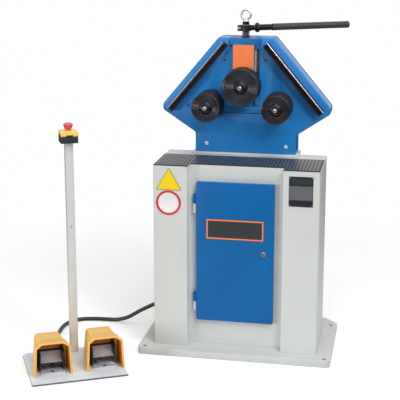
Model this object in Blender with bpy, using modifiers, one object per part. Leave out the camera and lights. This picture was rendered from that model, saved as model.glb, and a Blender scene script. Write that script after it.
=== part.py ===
"""Three-roll section bender: steel cabinet, six-sided roll head with a screw-fed top roll, and a pedal stand.

Metres, +Z up. X is the machine's width, Y runs from front to back, and the floor is z = 0.
The origin is under the middle of the cabinet's front face.
"""

import math

import bmesh
import bpy
from mathutils import Matrix, Vector

for old in list(bpy.data.objects):
    bpy.data.objects.remove(old, do_unlink=True)

# Driving sizes of the whole machine
CABINET_WIDTH = 0.700
CABINET_DEPTH = 0.325
CABINET_TOP = 0.822
BASE_THICKNESS = 0.030
COLUMN_LEFT_WIDTH = 0.146
COLUMN_RIGHT_WIDTH = 0.154
RECESS_DEPTH = 0.047
SHEET = 0.003
HEAD_FRONT = 0.265
HEAD_WIDTH = 0.730
HEAD_TOP_WIDTH = 0.239
NECK_WIDTH = 0.441
HEAD_HEIGHT = 0.5116
HEAD_PLATE = 0.020
HEAD_CAVITY = 0.067
REAR_PLATE = 0.018
ROLL_SPACING = 0.298
LOWER_ROLL_RISE = 0.225
TOP_ROLL_RISE = 0.0905
ROLL_OFFSET = -0.005
ROLL_REACH = 0.125
LOWER_ROLL_RADIUS = 0.0618
TOP_ROLL_RADIUS = 0.0790
SHAFT_RADIUS = 0.020
GAP = 0.0003
RUNNING_GAP = 0.0003
OVERRUN = 0.002
ROUND_STEPS = 20
ROLL_STEPS = 28
BEARING_STEPS = 28
FINE_STEPS = 12
BAR_STEPS = 16
CORNER_STEPS = 2

MODEL = bpy.data.collections.new("roll_bender")
CUTTERS = bpy.data.collections.new("cutters")
bpy.context.scene.collection.children.link(MODEL)
bpy.context.scene.collection.children.link(CUTTERS)


# Colours and surfaces
def material(name, colour, roughness, metallic=0.0):
    made = bpy.data.materials.new(name)
    made.use_nodes = True
    shader = made.node_tree.nodes["Principled BSDF"]
    shader.inputs["Base Color"].default_value = (*colour, 1.0)
    shader.inputs["Roughness"].default_value = roughness
    shader.inputs["Metallic"].default_value = metallic
    return made


GREY_PAINT = ((0.58, 0.59, 0.57), 0.50)
BLUE_PAINT = ((0.02, 0.15, 0.42), 0.40)
DARK_PAINT = ((0.03, 0.06, 0.11), 0.50)
BLACK_STEEL = ((0.025, 0.025, 0.028), 0.38, 0.7)
BRIGHT_STEEL = ((0.60, 0.60, 0.62), 0.30, 1.0)
BRONZE = ((0.45, 0.28, 0.10), 0.35, 1.0)
RUBBER = ((0.045, 0.045, 0.050), 0.80)
BLACK_PLASTIC = ((0.03, 0.03, 0.03), 0.50)
YELLOW_PLASTIC = ((0.90, 0.50, 0.05), 0.45)
RED_PLASTIC = ((0.80, 0.03, 0.04), 0.35)
WARM_GREY = ((0.60, 0.57, 0.53), 0.50)
GEARBOX_GREY = ((0.30, 0.33, 0.36), 0.50)


# Ways of making a solid. Each takes the place of the solid's origin, so a moving piece turns about its joint.
def place(obj, finish, origin, turn=(0.0, 0.0, 0.0), parent=None):
    MODEL.objects.link(obj)
    obj.location = origin
    obj.rotation_euler = turn
    obj.parent = parent
    obj.data.materials.clear()
    obj.data.materials.append(material(obj.name, *finish))
    bpy.context.view_layer.update()
    return obj


def from_bmesh(name, bm, finish, origin, turn=(0.0, 0.0, 0.0), parent=None, smooth=None):
    mesh = bpy.data.meshes.new(name)
    bm.to_mesh(mesh)
    bm.free()
    if smooth is not None:
        mesh.shade_smooth()
        mesh.set_sharp_from_angle(angle=smooth)
    return place(bpy.data.objects.new(name, mesh), finish, origin, turn, parent)


SMOOTH = math.radians(35)


def block(name, low, high, finish, origin=None, parent=None):
    """A box between two corners."""
    low, high = Vector(low), Vector(high)
    origin = (low + high) / 2 if origin is None else Vector(origin)
    bm = bmesh.new()
    bmesh.ops.create_cube(bm, size=1.0)
    bmesh.ops.scale(bm, vec=high - low, verts=bm.verts)
    bmesh.ops.translate(bm, vec=(low + high) / 2 - origin, verts=bm.verts)
    return from_bmesh(name, bm, finish, origin, parent=parent)


TURNS = {"X": (0.0, math.pi / 2, 0.0), "Y": (-math.pi / 2, 0.0, 0.0), "Z": (0.0, 0.0, 0.0)}


def rod(name, radius, start, length, axis, finish, steps=ROUND_STEPS, parent=None):
    """A round bar whose origin is the centre of its first end."""
    bm = bmesh.new()
    bmesh.ops.create_cone(bm, cap_ends=True, segments=steps, radius1=radius, radius2=radius, depth=length)
    bmesh.ops.translate(bm, vec=(0.0, 0.0, length / 2), verts=bm.verts)
    return from_bmesh(name, bm, finish, start, TURNS[axis], parent, SMOOTH)


def turned(name, profile, finish, origin, turn, steps=ROUND_STEPS, ring=False, parent=None):
    """A lathe shape: a profile of (radius, height) points, from the top down its outer side."""
    bm = bmesh.new()
    points = [bm.verts.new((radius, 0.0, height)) for radius, height in profile]
    for a, b in zip(points, points[1:]):
        bm.edges.new((a, b))
    if ring:
        bm.edges.new((points[-1], points[0]))
    obj = from_bmesh(name, bm, finish, origin, turn, parent)
    screw = obj.modifiers.new("turn", "SCREW")
    screw.axis = "Z"
    screw.steps = screw.render_steps = steps
    screw.use_merge_vertices = True
    screw.merge_threshold = 0.00001
    screw.use_smooth_shade = True
    return obj


def cut_flat(name, rings, thickness, finish, origin, turn=(0.0, 0.0, 0.0), parent=None, smooth=None):
    """A flat piece cut to an outline, thick both ways from its origin's plane. Later rings are holes."""
    curve = bpy.data.curves.new(name, "CURVE")
    curve.dimensions = "2D"
    curve.fill_mode = "BOTH"
    curve.extrude = thickness / 2
    for ring in rings:
        spline = curve.splines.new("POLY")
        spline.points.add(len(ring) - 1)
        for point, (x, y) in zip(spline.points, ring):
            point.co = (x, y, 0.0, 1.0)
        spline.use_cyclic_u = True
    drawn = place(bpy.data.objects.new(name + "_outline", curve), finish, origin, turn, parent)
    return as_mesh(drawn, name, finish, smooth, len(rings) == 1)


def as_mesh(drawn, name, finish, smooth=None, whole_faces=False):
    """Makes a curve object a closed mesh in the same place, each flat side one face if whole_faces is set."""
    seen = drawn.evaluated_get(bpy.context.evaluated_depsgraph_get())
    mesh = bpy.data.meshes.new_from_object(seen)
    bm = bmesh.new()
    bm.from_mesh(mesh)
    bmesh.ops.remove_doubles(bm, verts=bm.verts, dist=0.000001)
    if whole_faces:
        bmesh.ops.dissolve_limit(bm, angle_limit=0.001, verts=bm.verts, edges=bm.edges)
    bmesh.ops.recalc_face_normals(bm, faces=bm.faces)
    bm.to_mesh(mesh)
    bm.free()
    if smooth is not None:
        mesh.shade_smooth()
        mesh.set_sharp_from_angle(angle=smooth)
    obj = bpy.data.objects.new(name, mesh)
    MODEL.objects.link(obj)
    obj.parent = drawn.parent
    obj.matrix_world = drawn.matrix_world
    mesh.materials.clear()
    mesh.materials.append(material(name, *finish))
    bpy.data.objects.remove(drawn, do_unlink=True)
    bpy.context.view_layer.update()
    return obj


def combine(target, tool, operation):
    MODEL.objects.unlink(tool)
    CUTTERS.objects.link(tool)
    tool.hide_render = True
    tool.display_type = "WIRE"
    boolean = target.modifiers.new(operation.lower() + "_" + tool.name, "BOOLEAN")
    boolean.operation = operation
    boolean.solver = "EXACT"
    boolean.object = tool
    return target


def cut(target, tool):
    return combine(target, tool, "DIFFERENCE")


def weld(target, tool):
    return combine(target, tool, "UNION")


def bevel(obj, width, segments=1, angle=40.0):
    edge = obj.modifiers.new("edges", "BEVEL")
    edge.width = width
    edge.segments = segments
    edge.limit_method = "ANGLE"
    edge.angle_limit = math.radians(angle)
    return obj


def circle(radius, centre=(0.0, 0.0), steps=ROUND_STEPS):
    turns = [math.tau * k / steps for k in range(steps)]
    return [(centre[0] + radius * math.cos(turn), centre[1] + radius * math.sin(turn)) for turn in turns]


def rounded(points, radii, steps=3):
    """Rounds an outline's corners, each by its own radius; 0 leaves a corner sharp."""
    out = []
    for k, (corner, radius) in enumerate(zip(points, radii)):
        corner = Vector(corner)
        if not radius:
            out.append(tuple(corner))
            continue
        back = (Vector(points[k - 1]) - corner).normalized()
        ahead = (Vector(points[(k + 1) % len(points)]) - corner).normalized()
        half = back.angle(ahead) / 2
        centre = corner + (back + ahead).normalized() * (radius / math.sin(half))
        start = corner + back * (radius / math.tan(half)) - centre
        sweep = start.angle_signed(corner + ahead * (radius / math.tan(half)) - centre)
        for n in range(steps + 1):
            out.append(tuple(centre + Matrix.Rotation(-sweep * n / steps, 2) @ start))
    return out


def inset(points, distance):
    """An outline drawn anticlockwise, with every side moved inward by a distance."""
    out = []
    for k, corner in enumerate(points):
        corner = Vector(corner)
        back = (corner - Vector(points[k - 1])).normalized()
        ahead = (Vector(points[(k + 1) % len(points)]) - corner).normalized()
        inward_back, inward_ahead = Vector((-back.y, back.x)), Vector((-ahead.y, ahead.x))
        middle = inward_back + inward_ahead
        out.append(tuple(corner + middle * (distance / (1 + inward_back.dot(inward_ahead)))))
    return out


def rectangle(left, right, low, high):
    return [(left, low), (right, low), (right, high), (left, high)]


def empty(name, origin, turn=(0.0, 0.0, 0.0), parent=None):
    mark = bpy.data.objects.new(name, None)
    MODEL.objects.link(mark)
    mark.location = origin
    mark.rotation_euler = turn
    mark.parent = parent
    bpy.context.view_layer.update()
    return mark


UPRIGHT = (math.pi / 2, 0.0, 0.0)


# Base plate: thick steel with cut rear corners and a bolt hole near each corner
BASE_WIDTH = 0.824
BASE_FRONT_LEDGE = 0.057
BASE_REAR_LEDGE = 0.120
BASE_REAR_CORNER = 0.058
BASE_FRONT_CORNER = 0.012
BASE_BOLT_RADIUS = 0.009
BASE_BOLT_INSET = 0.026
BASE_REAR_BOLT_INSET = 0.085
base_half = BASE_WIDTH / 2
base_front, base_rear = -BASE_FRONT_LEDGE, CABINET_DEPTH + BASE_REAR_LEDGE
base_outline = [
    (-base_half + BASE_FRONT_CORNER, base_front),
    (base_half - BASE_FRONT_CORNER, base_front),
    (base_half, base_front + BASE_FRONT_CORNER),
    (base_half, base_rear - BASE_REAR_CORNER),
    (base_half - BASE_REAR_CORNER, base_rear),
    (-base_half + BASE_REAR_CORNER, base_rear),
    (-base_half, base_rear - BASE_REAR_CORNER),
    (-base_half, base_front + BASE_FRONT_CORNER),
]
base_bolts = [
    (side * (base_half - BASE_BOLT_INSET), y)
    for side in (-1, 1)
    for y in (base_front + BASE_BOLT_INSET, base_rear - BASE_REAR_BOLT_INSET)
]
cut_flat(
    "base_plate",
    [base_outline, *[circle(BASE_BOLT_RADIUS, bolt, FINE_STEPS) for bolt in base_bolts]],
    BASE_THICKNESS,
    GREY_PAINT,
    (0.0, 0.0, BASE_THICKNESS / 2),
)

# Cabinet: one folded sheet shell, its middle set back between two columns, with the door's opening,
# vents in the rear wall and holes for the cable gland, the mains gland and the motor's conduit
COLUMN_EDGE_RADIUS = 0.006
DOOR_LEFT = -0.171
DOOR_RIGHT = 0.160
DOOR_BOTTOM = 0.142
DOOR_TOP_DROP = 0.070
DOOR_LAP = 0.007
VENT_LENGTH = 0.090
VENT_HEIGHT = 0.005
VENT_PITCH = 0.015
VENT_COUNT = 5
VENT_HEIGHT_SHARE = 0.80
VENT_ACROSS_SHARE = 0.32
CONTROL_GLAND_BACK = 0.235
CONTROL_GLAND_HEIGHT = 0.118
GLAND_THREAD_RADIUS = 0.010
MAINS_GLAND_ACROSS = 0.220
MAINS_GLAND_HEIGHT = 0.110
CONDUIT_RADIUS = 0.010
TERMINAL_BOX_HALF_HEIGHT = 0.045
TERMINAL_BOX_DROP = 0.042
half = CABINET_WIDTH / 2
shell_low, shell_high = BASE_THICKNESS + GAP, CABINET_TOP
conduit_height = CABINET_TOP - TERMINAL_BOX_DROP - TERMINAL_BOX_HALF_HEIGHT
recess_left, recess_right = -half + COLUMN_LEFT_WIDTH, half - COLUMN_RIGHT_WIDTH
shell_outline = [
    (-half, 0.0),
    (recess_left, 0.0),
    (recess_left, RECESS_DEPTH),
    (recess_right, RECESS_DEPTH),
    (recess_right, 0.0),
    (half, 0.0),
    (half, CABINET_DEPTH),
    (-half, CABINET_DEPTH),
]
edge = COLUMN_EDGE_RADIUS
cabinet_shell = cut_flat(
    "cabinet_shell",
    [rounded(shell_outline, [edge, edge, 0.0, 0.0, edge, edge, edge, edge])],
    shell_high - shell_low,
    GREY_PAINT,
    (0.0, 0.0, (shell_low + shell_high) / 2),
)
inner_low, inner_high = shell_low - OVERRUN, shell_high - SHEET
cut(
    cabinet_shell,
    cut_flat(
        "cabinet_hollow",
        [inset(shell_outline, SHEET)],
        inner_high - inner_low,
        GREY_PAINT,
        (0.0, 0.0, (inner_low + inner_high) / 2),
    ),
)
opening_left, opening_right = DOOR_LEFT + DOOR_LAP, DOOR_RIGHT - DOOR_LAP
door_top = CABINET_TOP - DOOR_TOP_DROP
opening_bottom, opening_top = DOOR_BOTTOM + DOOR_LAP, door_top - DOOR_LAP
cut(
    cabinet_shell,
    block(
        "door_opening",
        (opening_left, RECESS_DEPTH - OVERRUN, opening_bottom),
        (opening_right, RECESS_DEPTH + SHEET + OVERRUN, opening_top),
        GREY_PAINT,
    ),
)
vent_bottom = shell_low + VENT_HEIGHT_SHARE * (shell_high - shell_low)
for side in (-1, 1):
    for k in range(VENT_COUNT):
        middle, low = side * VENT_ACROSS_SHARE * CABINET_WIDTH, vent_bottom + k * VENT_PITCH
        cut(
            cabinet_shell,
            block(
                f"vent_{'left' if side < 0 else 'right'}_{k}",
                (middle - VENT_LENGTH / 2, CABINET_DEPTH - SHEET - OVERRUN, low),
                (middle + VENT_LENGTH / 2, CABINET_DEPTH + OVERRUN, low + VENT_HEIGHT),
                GREY_PAINT,
            ),
        )
wall_cut = SHEET + 2 * OVERRUN
gland_hole = GLAND_THREAD_RADIUS + GAP
rear_wall = CABINET_DEPTH - SHEET - OVERRUN
for name, radius, start, axis in (
    ("control_gland_hole", gland_hole, (-half - OVERRUN, CONTROL_GLAND_BACK, CONTROL_GLAND_HEIGHT), "X"),
    ("mains_gland_hole", gland_hole, (MAINS_GLAND_ACROSS, rear_wall, MAINS_GLAND_HEIGHT), "Y"),
    ("conduit_hole", CONDUIT_RADIUS + GAP, (ROLL_OFFSET, rear_wall, conduit_height), "Y"),
):
    cut(cabinet_shell, rod(name, radius, start, wall_cut, axis, GREY_PAINT))

# Support frame inside the cabinet: a welded portal from the base plate to the top, under the head
FRAME_HALF_WIDTH = 0.210
FRAME_LEG = 0.050
FRAME_DEPTH = 0.050
FRAME_WALL_GAP = 0.004
frame_back = CABINET_DEPTH - SHEET - FRAME_WALL_GAP
frame_front = frame_back - FRAME_DEPTH
frame_top = CABINET_TOP - SHEET - GAP
inside = FRAME_HALF_WIDTH - FRAME_LEG
cut_flat(
    "support_frame",
    [
        [
            (-FRAME_HALF_WIDTH, shell_low),
            (-inside, shell_low),
            (-inside, frame_top - FRAME_LEG),
            (inside, frame_top - FRAME_LEG),
            (inside, shell_low),
            (FRAME_HALF_WIDTH, shell_low),
            (FRAME_HALF_WIDTH, frame_top),
            (-FRAME_HALF_WIDTH, frame_top),
        ]
    ],
    FRAME_DEPTH,
    DARK_PAINT,
    (0.0, (frame_front + frame_back) / 2, 0.0),
    UPRIGHT,
)

# Electrical plate on the support frame, with its switchgear and transformer
PLATE_HALF_WIDTH = 0.200
PLATE_LOW = 0.300
PLATE_HIGH = 0.690
PLATE_THICKNESS = 0.003
SWITCHGEAR_DEPTH = 0.065
SWITCHGEAR_HEIGHT = 0.085
SWITCHGEAR_HALF_WIDTH = 0.110
TRANSFORMER_DEPTH = 0.075
TRANSFORMER_SIZE = 0.090
plate_back = frame_front - GAP
plate_front = plate_back - PLATE_THICKNESS
plate_middle = (PLATE_LOW + PLATE_HIGH) / 2
electrical_plate = block(
    "electrical_plate",
    (-PLATE_HALF_WIDTH, plate_front, PLATE_LOW),
    (PLATE_HALF_WIDTH, plate_back, PLATE_HIGH),
    WARM_GREY,
)
sunk = PLATE_THICKNESS / 2
transformer_top = plate_middle - SWITCHGEAR_HEIGHT
weld(
    electrical_plate,
    block(
        "switchgear",
        (-SWITCHGEAR_HALF_WIDTH, plate_front - SWITCHGEAR_DEPTH, plate_middle),
        (SWITCHGEAR_HALF_WIDTH, plate_front + sunk, plate_middle + SWITCHGEAR_HEIGHT),
        BLACK_PLASTIC,
    ),
)
weld(
    electrical_plate,
    block(
        "transformer",
        (-SWITCHGEAR_HALF_WIDTH, plate_front - TRANSFORMER_DEPTH, transformer_top - TRANSFORMER_SIZE),
        (-SWITCHGEAR_HALF_WIDTH + TRANSFORMER_SIZE, plate_front + sunk, transformer_top),
        BLACK_PLASTIC,
    ),
)

# Rubber mat on the cabinet's top, its front following the columns and the recess
MAT_THICKNESS = 0.003
MAT_BACK = 0.222
MAT_MARGIN = 0.0015
mat_outline = [(x, min(y, MAT_BACK + MAT_MARGIN)) for x, y in shell_outline]
cut_flat(
    "rubber_mat",
    [inset(mat_outline, MAT_MARGIN)],
    MAT_THICKNESS,
    RUBBER,
    (0.0, 0.0, CABINET_TOP + GAP + MAT_THICKNESS / 2),
)

# Foot flange between the cabinet and the head
FOOT_HALF_WIDTH = 0.232
FOOT_THICKNESS = 0.010
FOOT_FRONT_LEDGE = 0.004
head_back = HEAD_FRONT + HEAD_PLATE + HEAD_CAVITY
rear_plate_front = head_back + GAP
rear_plate_back = rear_plate_front + REAR_PLATE
foot_low = CABINET_TOP + GAP
block(
    "head_foot",
    (-FOOT_HALF_WIDTH, HEAD_FRONT - FOOT_FRONT_LEDGE, foot_low),
    (FOOT_HALF_WIDTH, rear_plate_back, foot_low + FOOT_THICKNESS),
    GREY_PAINT,
)

# Roll head: a six-sided box above a neck. The front plate has the carriage's slot, a bore for each lower
# bearing and a shallow ledge line; the back is open, with walls all round
NECK_HEIGHT = 0.0956
SIDE_CORNER_RISE = 0.0964
SIDE_EDGE = 0.026
HEAD_WALL = 0.012
HEAD_CORNER_RADIUS = 0.014
HEAD_EDGE_BEVEL = 0.004
HEAD_EDGE_TURN = 60.0
SLOT_HALF_WIDTH = 0.064
SLOT_DROP = 0.009
BRIDGE_HEIGHT = 0.032
BRIDGE_BACK = 0.330
CARRIAGE_HALF_WIDTH = 0.045
BEARING_RADIUS = 0.040
LEDGE_DROP = 0.040
LEDGE_HALF_LENGTH = 0.110
LEDGE_LINE = 0.002
head_low = foot_low + FOOT_THICKNESS + GAP
head_top = CABINET_TOP + HEAD_HEIGHT
neck_top = CABINET_TOP + NECK_HEIGHT
side_corner_low = neck_top + SIDE_CORNER_RISE
side_corner_high = side_corner_low + SIDE_EDGE
lower_roll_height = CABINET_TOP + LOWER_ROLL_RISE
top_roll_height = lower_roll_height + TOP_ROLL_RISE
slot_bottom = lower_roll_height - SLOT_DROP
ledge_height = lower_roll_height - LEDGE_DROP
head_half, neck_half, top_half = HEAD_WIDTH / 2, NECK_WIDTH / 2, HEAD_TOP_WIDTH / 2
head_outline = [
    (-neck_half, head_low),
    (neck_half, head_low),
    (neck_half, neck_top),
    (head_half, side_corner_low),
    (head_half, side_corner_high),
    (top_half, head_top),
    (-top_half, head_top),
    (-head_half, side_corner_high),
    (-head_half, side_corner_low),
    (-neck_half, neck_top),
]
corner = HEAD_CORNER_RADIUS
head_corners = [0.0, 0.0, corner, corner, corner, corner, corner, corner, corner, corner]
head_housing = cut_flat(
    "head_housing",
    [rounded(head_outline, head_corners, CORNER_STEPS)],
    head_back - HEAD_FRONT,
    BLUE_PAINT,
    (0.0, (HEAD_FRONT + head_back) / 2, 0.0),
    UPRIGHT,
)
bevel(head_housing, HEAD_EDGE_BEVEL, CORNER_STEPS, HEAD_EDGE_TURN)
cavity_front, cavity_back = HEAD_FRONT + HEAD_PLATE, head_back + OVERRUN
cut(
    head_housing,
    cut_flat(
        "head_cavity",
        [inset(head_outline, HEAD_WALL)],
        cavity_back - cavity_front,
        BLUE_PAINT,
        (0.0, (cavity_front + cavity_back) / 2, 0.0),
        UPRIGHT,
    ),
)
bridge_low = head_top - BRIDGE_HEIGHT
slot_left = ROLL_OFFSET - CARRIAGE_HALF_WIDTH - RUNNING_GAP
slot_right = ROLL_OFFSET + SLOT_HALF_WIDTH
cut(
    head_housing,
    block(
        "carriage_slot",
        (slot_left, HEAD_FRONT - OVERRUN, slot_bottom),
        (slot_right, cavity_front + OVERRUN, bridge_low + OVERRUN),
        BLUE_PAINT,
    ),
)
cut(
    head_housing,
    block(
        "bridge_seat",
        (ROLL_OFFSET - SLOT_HALF_WIDTH, HEAD_FRONT - OVERRUN, bridge_low),
        (slot_right, BRIDGE_BACK, head_top + OVERRUN),
        BLUE_PAINT,
    ),
)
left_x, right_x = ROLL_OFFSET - ROLL_SPACING / 2, ROLL_OFFSET + ROLL_SPACING / 2
for name, across in (("left_bearing_bore", left_x), ("right_bearing_bore", right_x)):
    start = (across, HEAD_FRONT - OVERRUN, lower_roll_height)
    length = HEAD_PLATE + 2 * OVERRUN
    cut(head_housing, rod(name, BEARING_RADIUS, start, length, "Y", BLUE_PAINT, BEARING_STEPS))
cut(
    head_housing,
    block(
        "ledge_line",
        (ROLL_OFFSET - LEDGE_HALF_LENGTH, HEAD_FRONT - OVERRUN, ledge_height),
        (ROLL_OFFSET + LEDGE_HALF_LENGTH, HEAD_FRONT + LEDGE_LINE, ledge_height + LEDGE_LINE),
        BLUE_PAINT,
    ),
)

# Rear plate of the head, with bores for the rear bearings and the drive shaft
REAR_BEARING_RADIUS = 0.036
GEAR_MODULE = 0.005
GEAR_TEETH = 36
PINION_TEETH = 30
centre_distance = GEAR_MODULE * (GEAR_TEETH + PINION_TEETH) / 2
pinion_drop = math.sqrt(centre_distance**2 - (ROLL_SPACING / 2) ** 2)
pinion_height = lower_roll_height - pinion_drop
DRIVE_SHAFT_RADIUS = 0.0175
cut_flat(
    "head_rear_plate",
    [
        rounded(head_outline, head_corners, CORNER_STEPS),
        circle(REAR_BEARING_RADIUS, (left_x, lower_roll_height), BEARING_STEPS),
        circle(REAR_BEARING_RADIUS, (right_x, lower_roll_height), BEARING_STEPS),
        circle(DRIVE_SHAFT_RADIUS + RUNNING_GAP, (ROLL_OFFSET, pinion_height)),
    ],
    REAR_PLATE,
    DARK_PAINT,
    (0.0, (rear_plate_front + rear_plate_back) / 2, 0.0),
    UPRIGHT,
)

# Bearings of the lower shafts: flanged rings in the front plate, plain rings in the rear plate
BEARING_FLANGE = 0.004
BEARING_LIP = 0.003
bore = SHAFT_RADIUS + RUNNING_GAP
for side, across in (("left", left_x), ("right", right_x)):
    face, back = HEAD_FRONT - GAP - BEARING_FLANGE, HEAD_FRONT + HEAD_PLATE
    seat, lip = BEARING_RADIUS - GAP, BEARING_RADIUS + BEARING_LIP
    turned(
        f"front_bearing_{side}",
        [
            (bore, 0.0),
            (lip, 0.0),
            (lip, -BEARING_FLANGE),
            (seat, -BEARING_FLANGE),
            (seat, face - back),
            (bore, face - back),
        ],
        BRIGHT_STEEL,
        (across, face, lower_roll_height),
        UPRIGHT,
        BEARING_STEPS,
        ring=True,
    )
    seat = REAR_BEARING_RADIUS - GAP
    turned(
        f"rear_bearing_{side}",
        [(bore, 0.0), (seat, 0.0), (seat, -REAR_PLATE), (bore, -REAR_PLATE)],
        BRIGHT_STEEL,
        (across, rear_plate_front, lower_roll_height),
        UPRIGHT,
        BEARING_STEPS,
        ring=True,
    )

# Lower roll sets and the top roll: discs of one radius with grooves between them, bored for the shaft,
# with a turned recess on the front face. Widths run from the front disc to the back
LOWER_ROLL_BANDS = (0.030, 0.010, 0.034, 0.010, 0.036)
TOP_ROLL_BANDS = (0.045, 0.010, 0.024)
GROOVE_DEPTH_SHARE = 0.16
ROLL_CHAMFER = 0.0015
FACE_RECESS_DEPTH = 0.002
FACE_RECESS_SHARE = 0.62
roll_front = HEAD_FRONT - ROLL_REACH


def roll(name, radius, bands, across, height):
    low = radius * (1 - GROOVE_DEPTH_SHARE)
    recess = radius * FACE_RECESS_SHARE
    profile = [
        (bore, -FACE_RECESS_DEPTH),
        (recess, -FACE_RECESS_DEPTH),
        (recess, 0.0),
        (radius - ROLL_CHAMFER, 0.0),
        (radius, -ROLL_CHAMFER),
    ]
    at = 0
    for k, width in enumerate(bands):
        reach = radius if k % 2 == 0 else low
        if k:
            profile.append((reach, at))
        at -= width
        profile.append((reach, at))
    profile.append((bore, at))
    where = (across, roll_front, height)
    return turned(name, profile, BLACK_STEEL, where, UPRIGHT, ROLL_STEPS, ring=True)


roll("left_roll", LOWER_ROLL_RADIUS, LOWER_ROLL_BANDS, left_x, lower_roll_height)
roll("right_roll", LOWER_ROLL_RADIUS, LOWER_ROLL_BANDS, right_x, lower_roll_height)
roll("top_roll", TOP_ROLL_RADIUS, TOP_ROLL_BANDS, ROLL_OFFSET, top_roll_height)

# Shafts, each with a shoulder that seats it, and the cap and screw that hold each roll on
SHOULDER_RADIUS = 0.026
GEAR_WIDTH = 0.019
GEAR_CLEARANCE = 0.007
SHAFT_TAIL = 0.002
CAP_RADIUS = 0.0285
CAP_THICKNESS = 0.010
CAP_SCREW_RADIUS = 0.0095
CAP_SCREW_HEIGHT = 0.012
CAP_SOCKET_SHARE = 0.50
CAP_CHAMFER = 0.0015
gear_back = head_back - GEAR_CLEARANCE
gear_front = gear_back - GEAR_WIDTH
shaft_front = roll_front + FACE_RECESS_DEPTH
cap_back = shaft_front - GAP


def shaft(name, across, height, shoulder_front, shoulder_back, back):
    """Heights run down from the front end, which is the origin."""
    down = lambda y: shaft_front - y
    return turned(
        name,
        [
            (0.0, 0.0),
            (SHAFT_RADIUS, 0.0),
            (SHAFT_RADIUS, down(shoulder_front)),
            (SHOULDER_RADIUS, down(shoulder_front)),
            (SHOULDER_RADIUS, down(shoulder_back)),
            (SHAFT_RADIUS, down(shoulder_back)),
            (SHAFT_RADIUS, down(back)),
            (0.0, down(back)),
        ],
        BRIGHT_STEEL,
        (across, shaft_front, height),
        UPRIGHT,
    )


def cap(name, across, height):
    screw, socket = CAP_THICKNESS + CAP_SCREW_HEIGHT, CAP_SCREW_RADIUS * CAP_SOCKET_SHARE
    return turned(
        name,
        [
            (0.0, screw - CAP_SCREW_HEIGHT / 2),
            (socket, screw - CAP_SCREW_HEIGHT / 2),
            (socket, screw),
            (CAP_SCREW_RADIUS, screw),
            (CAP_SCREW_RADIUS, CAP_THICKNESS),
            (CAP_RADIUS - CAP_CHAMFER, CAP_THICKNESS),
            (CAP_RADIUS, CAP_THICKNESS - CAP_CHAMFER),
            (CAP_RADIUS, 0.0),
            (0.0, 0.0),
        ],
        BLACK_STEEL,
        (across, cap_back, height),
        UPRIGHT,
    )


shoulder_front = HEAD_FRONT + HEAD_PLATE + GAP
tail = rear_plate_back + SHAFT_TAIL
for side, across in (("left", left_x), ("right", right_x)):
    shaft(f"{side}_shaft", across, lower_roll_height, shoulder_front, gear_front - GAP, tail)
    cap(f"{side}_roll_cap", across, lower_roll_height)

# Gears of the lower shafts and the pinion between them, with true involute flanks
PRESSURE_ANGLE = math.radians(20)
BACKLASH = 0.0008
ADDENDUM_SHARE = 0.95
DEDENDUM_SHARE = 1.25


def gear_outline(teeth, phase):
    """Teeth as three points a flank. phase is the angle of one tooth's middle."""
    pitch = GEAR_MODULE * teeth / 2
    base = pitch * math.cos(PRESSURE_ANGLE)
    tip, root = pitch + ADDENDUM_SHARE * GEAR_MODULE, pitch - DEDENDUM_SHARE * GEAR_MODULE
    involute = lambda radius: math.tan(math.acos(base / radius)) - math.acos(base / radius)
    at_pitch = math.pi / (2 * teeth) - BACKLASH / (2 * pitch)
    flank = [
        (radius, at_pitch + involute(pitch) - involute(max(radius, base))) for radius in (root, pitch, tip)
    ]
    out = []
    for k in range(teeth):
        middle = phase + math.tau * k / teeth
        angles = [(r, middle - a) for r, a in flank] + [(r, middle + a) for r, a in reversed(flank)]
        out += [(r * math.cos(a), r * math.sin(a)) for r, a in angles]
    return out


def meshed_phase(teeth, other_teeth, other_phase, line):
    """The tooth angle of a gear in mesh with another, line being the direction from it to the other."""
    other_share = ((line + math.pi - other_phase) / (math.tau / other_teeth)) % 1
    return line - (1 / 2 - other_share) * math.tau / teeth


pinion_phase = math.pi / 2
for side, across in (("left", left_x), ("right", right_x)):
    line = math.atan2(-pinion_drop, ROLL_OFFSET - across)
    phase = meshed_phase(GEAR_TEETH, PINION_TEETH, pinion_phase, line)
    cut_flat(
        f"{side}_gear",
        [gear_outline(GEAR_TEETH, phase), circle(SHAFT_RADIUS + GAP)],
        GEAR_WIDTH,
        BRIGHT_STEEL,
        (across, (gear_front + gear_back) / 2, lower_roll_height),
        UPRIGHT,
    )
cut_flat(
    "drive_pinion",
    [gear_outline(PINION_TEETH, pinion_phase), circle(DRIVE_SHAFT_RADIUS + GAP)],
    GEAR_WIDTH,
    BRIGHT_STEEL,
    (ROLL_OFFSET, (gear_front + gear_back) / 2, pinion_height),
    UPRIGHT,
)

# Drive shaft from the gearbox to the pinion, its collar in front of the pinion
DRIVE_COLLAR_RADIUS = 0.024
DRIVE_COLLAR = 0.008
DRIVE_SHAFT_END = 0.455
collar_front = gear_front - GAP - DRIVE_COLLAR
turned(
    "drive_shaft",
    [
        (0.0, 0.0),
        (DRIVE_COLLAR_RADIUS, 0.0),
        (DRIVE_COLLAR_RADIUS, -DRIVE_COLLAR),
        (DRIVE_SHAFT_RADIUS, -DRIVE_COLLAR),
        (DRIVE_SHAFT_RADIUS, collar_front - DRIVE_SHAFT_END),
        (0.0, collar_front - DRIVE_SHAFT_END),
    ],
    BRIGHT_STEEL,
    (ROLL_OFFSET, collar_front, pinion_height),
    UPRIGHT,
)

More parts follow.
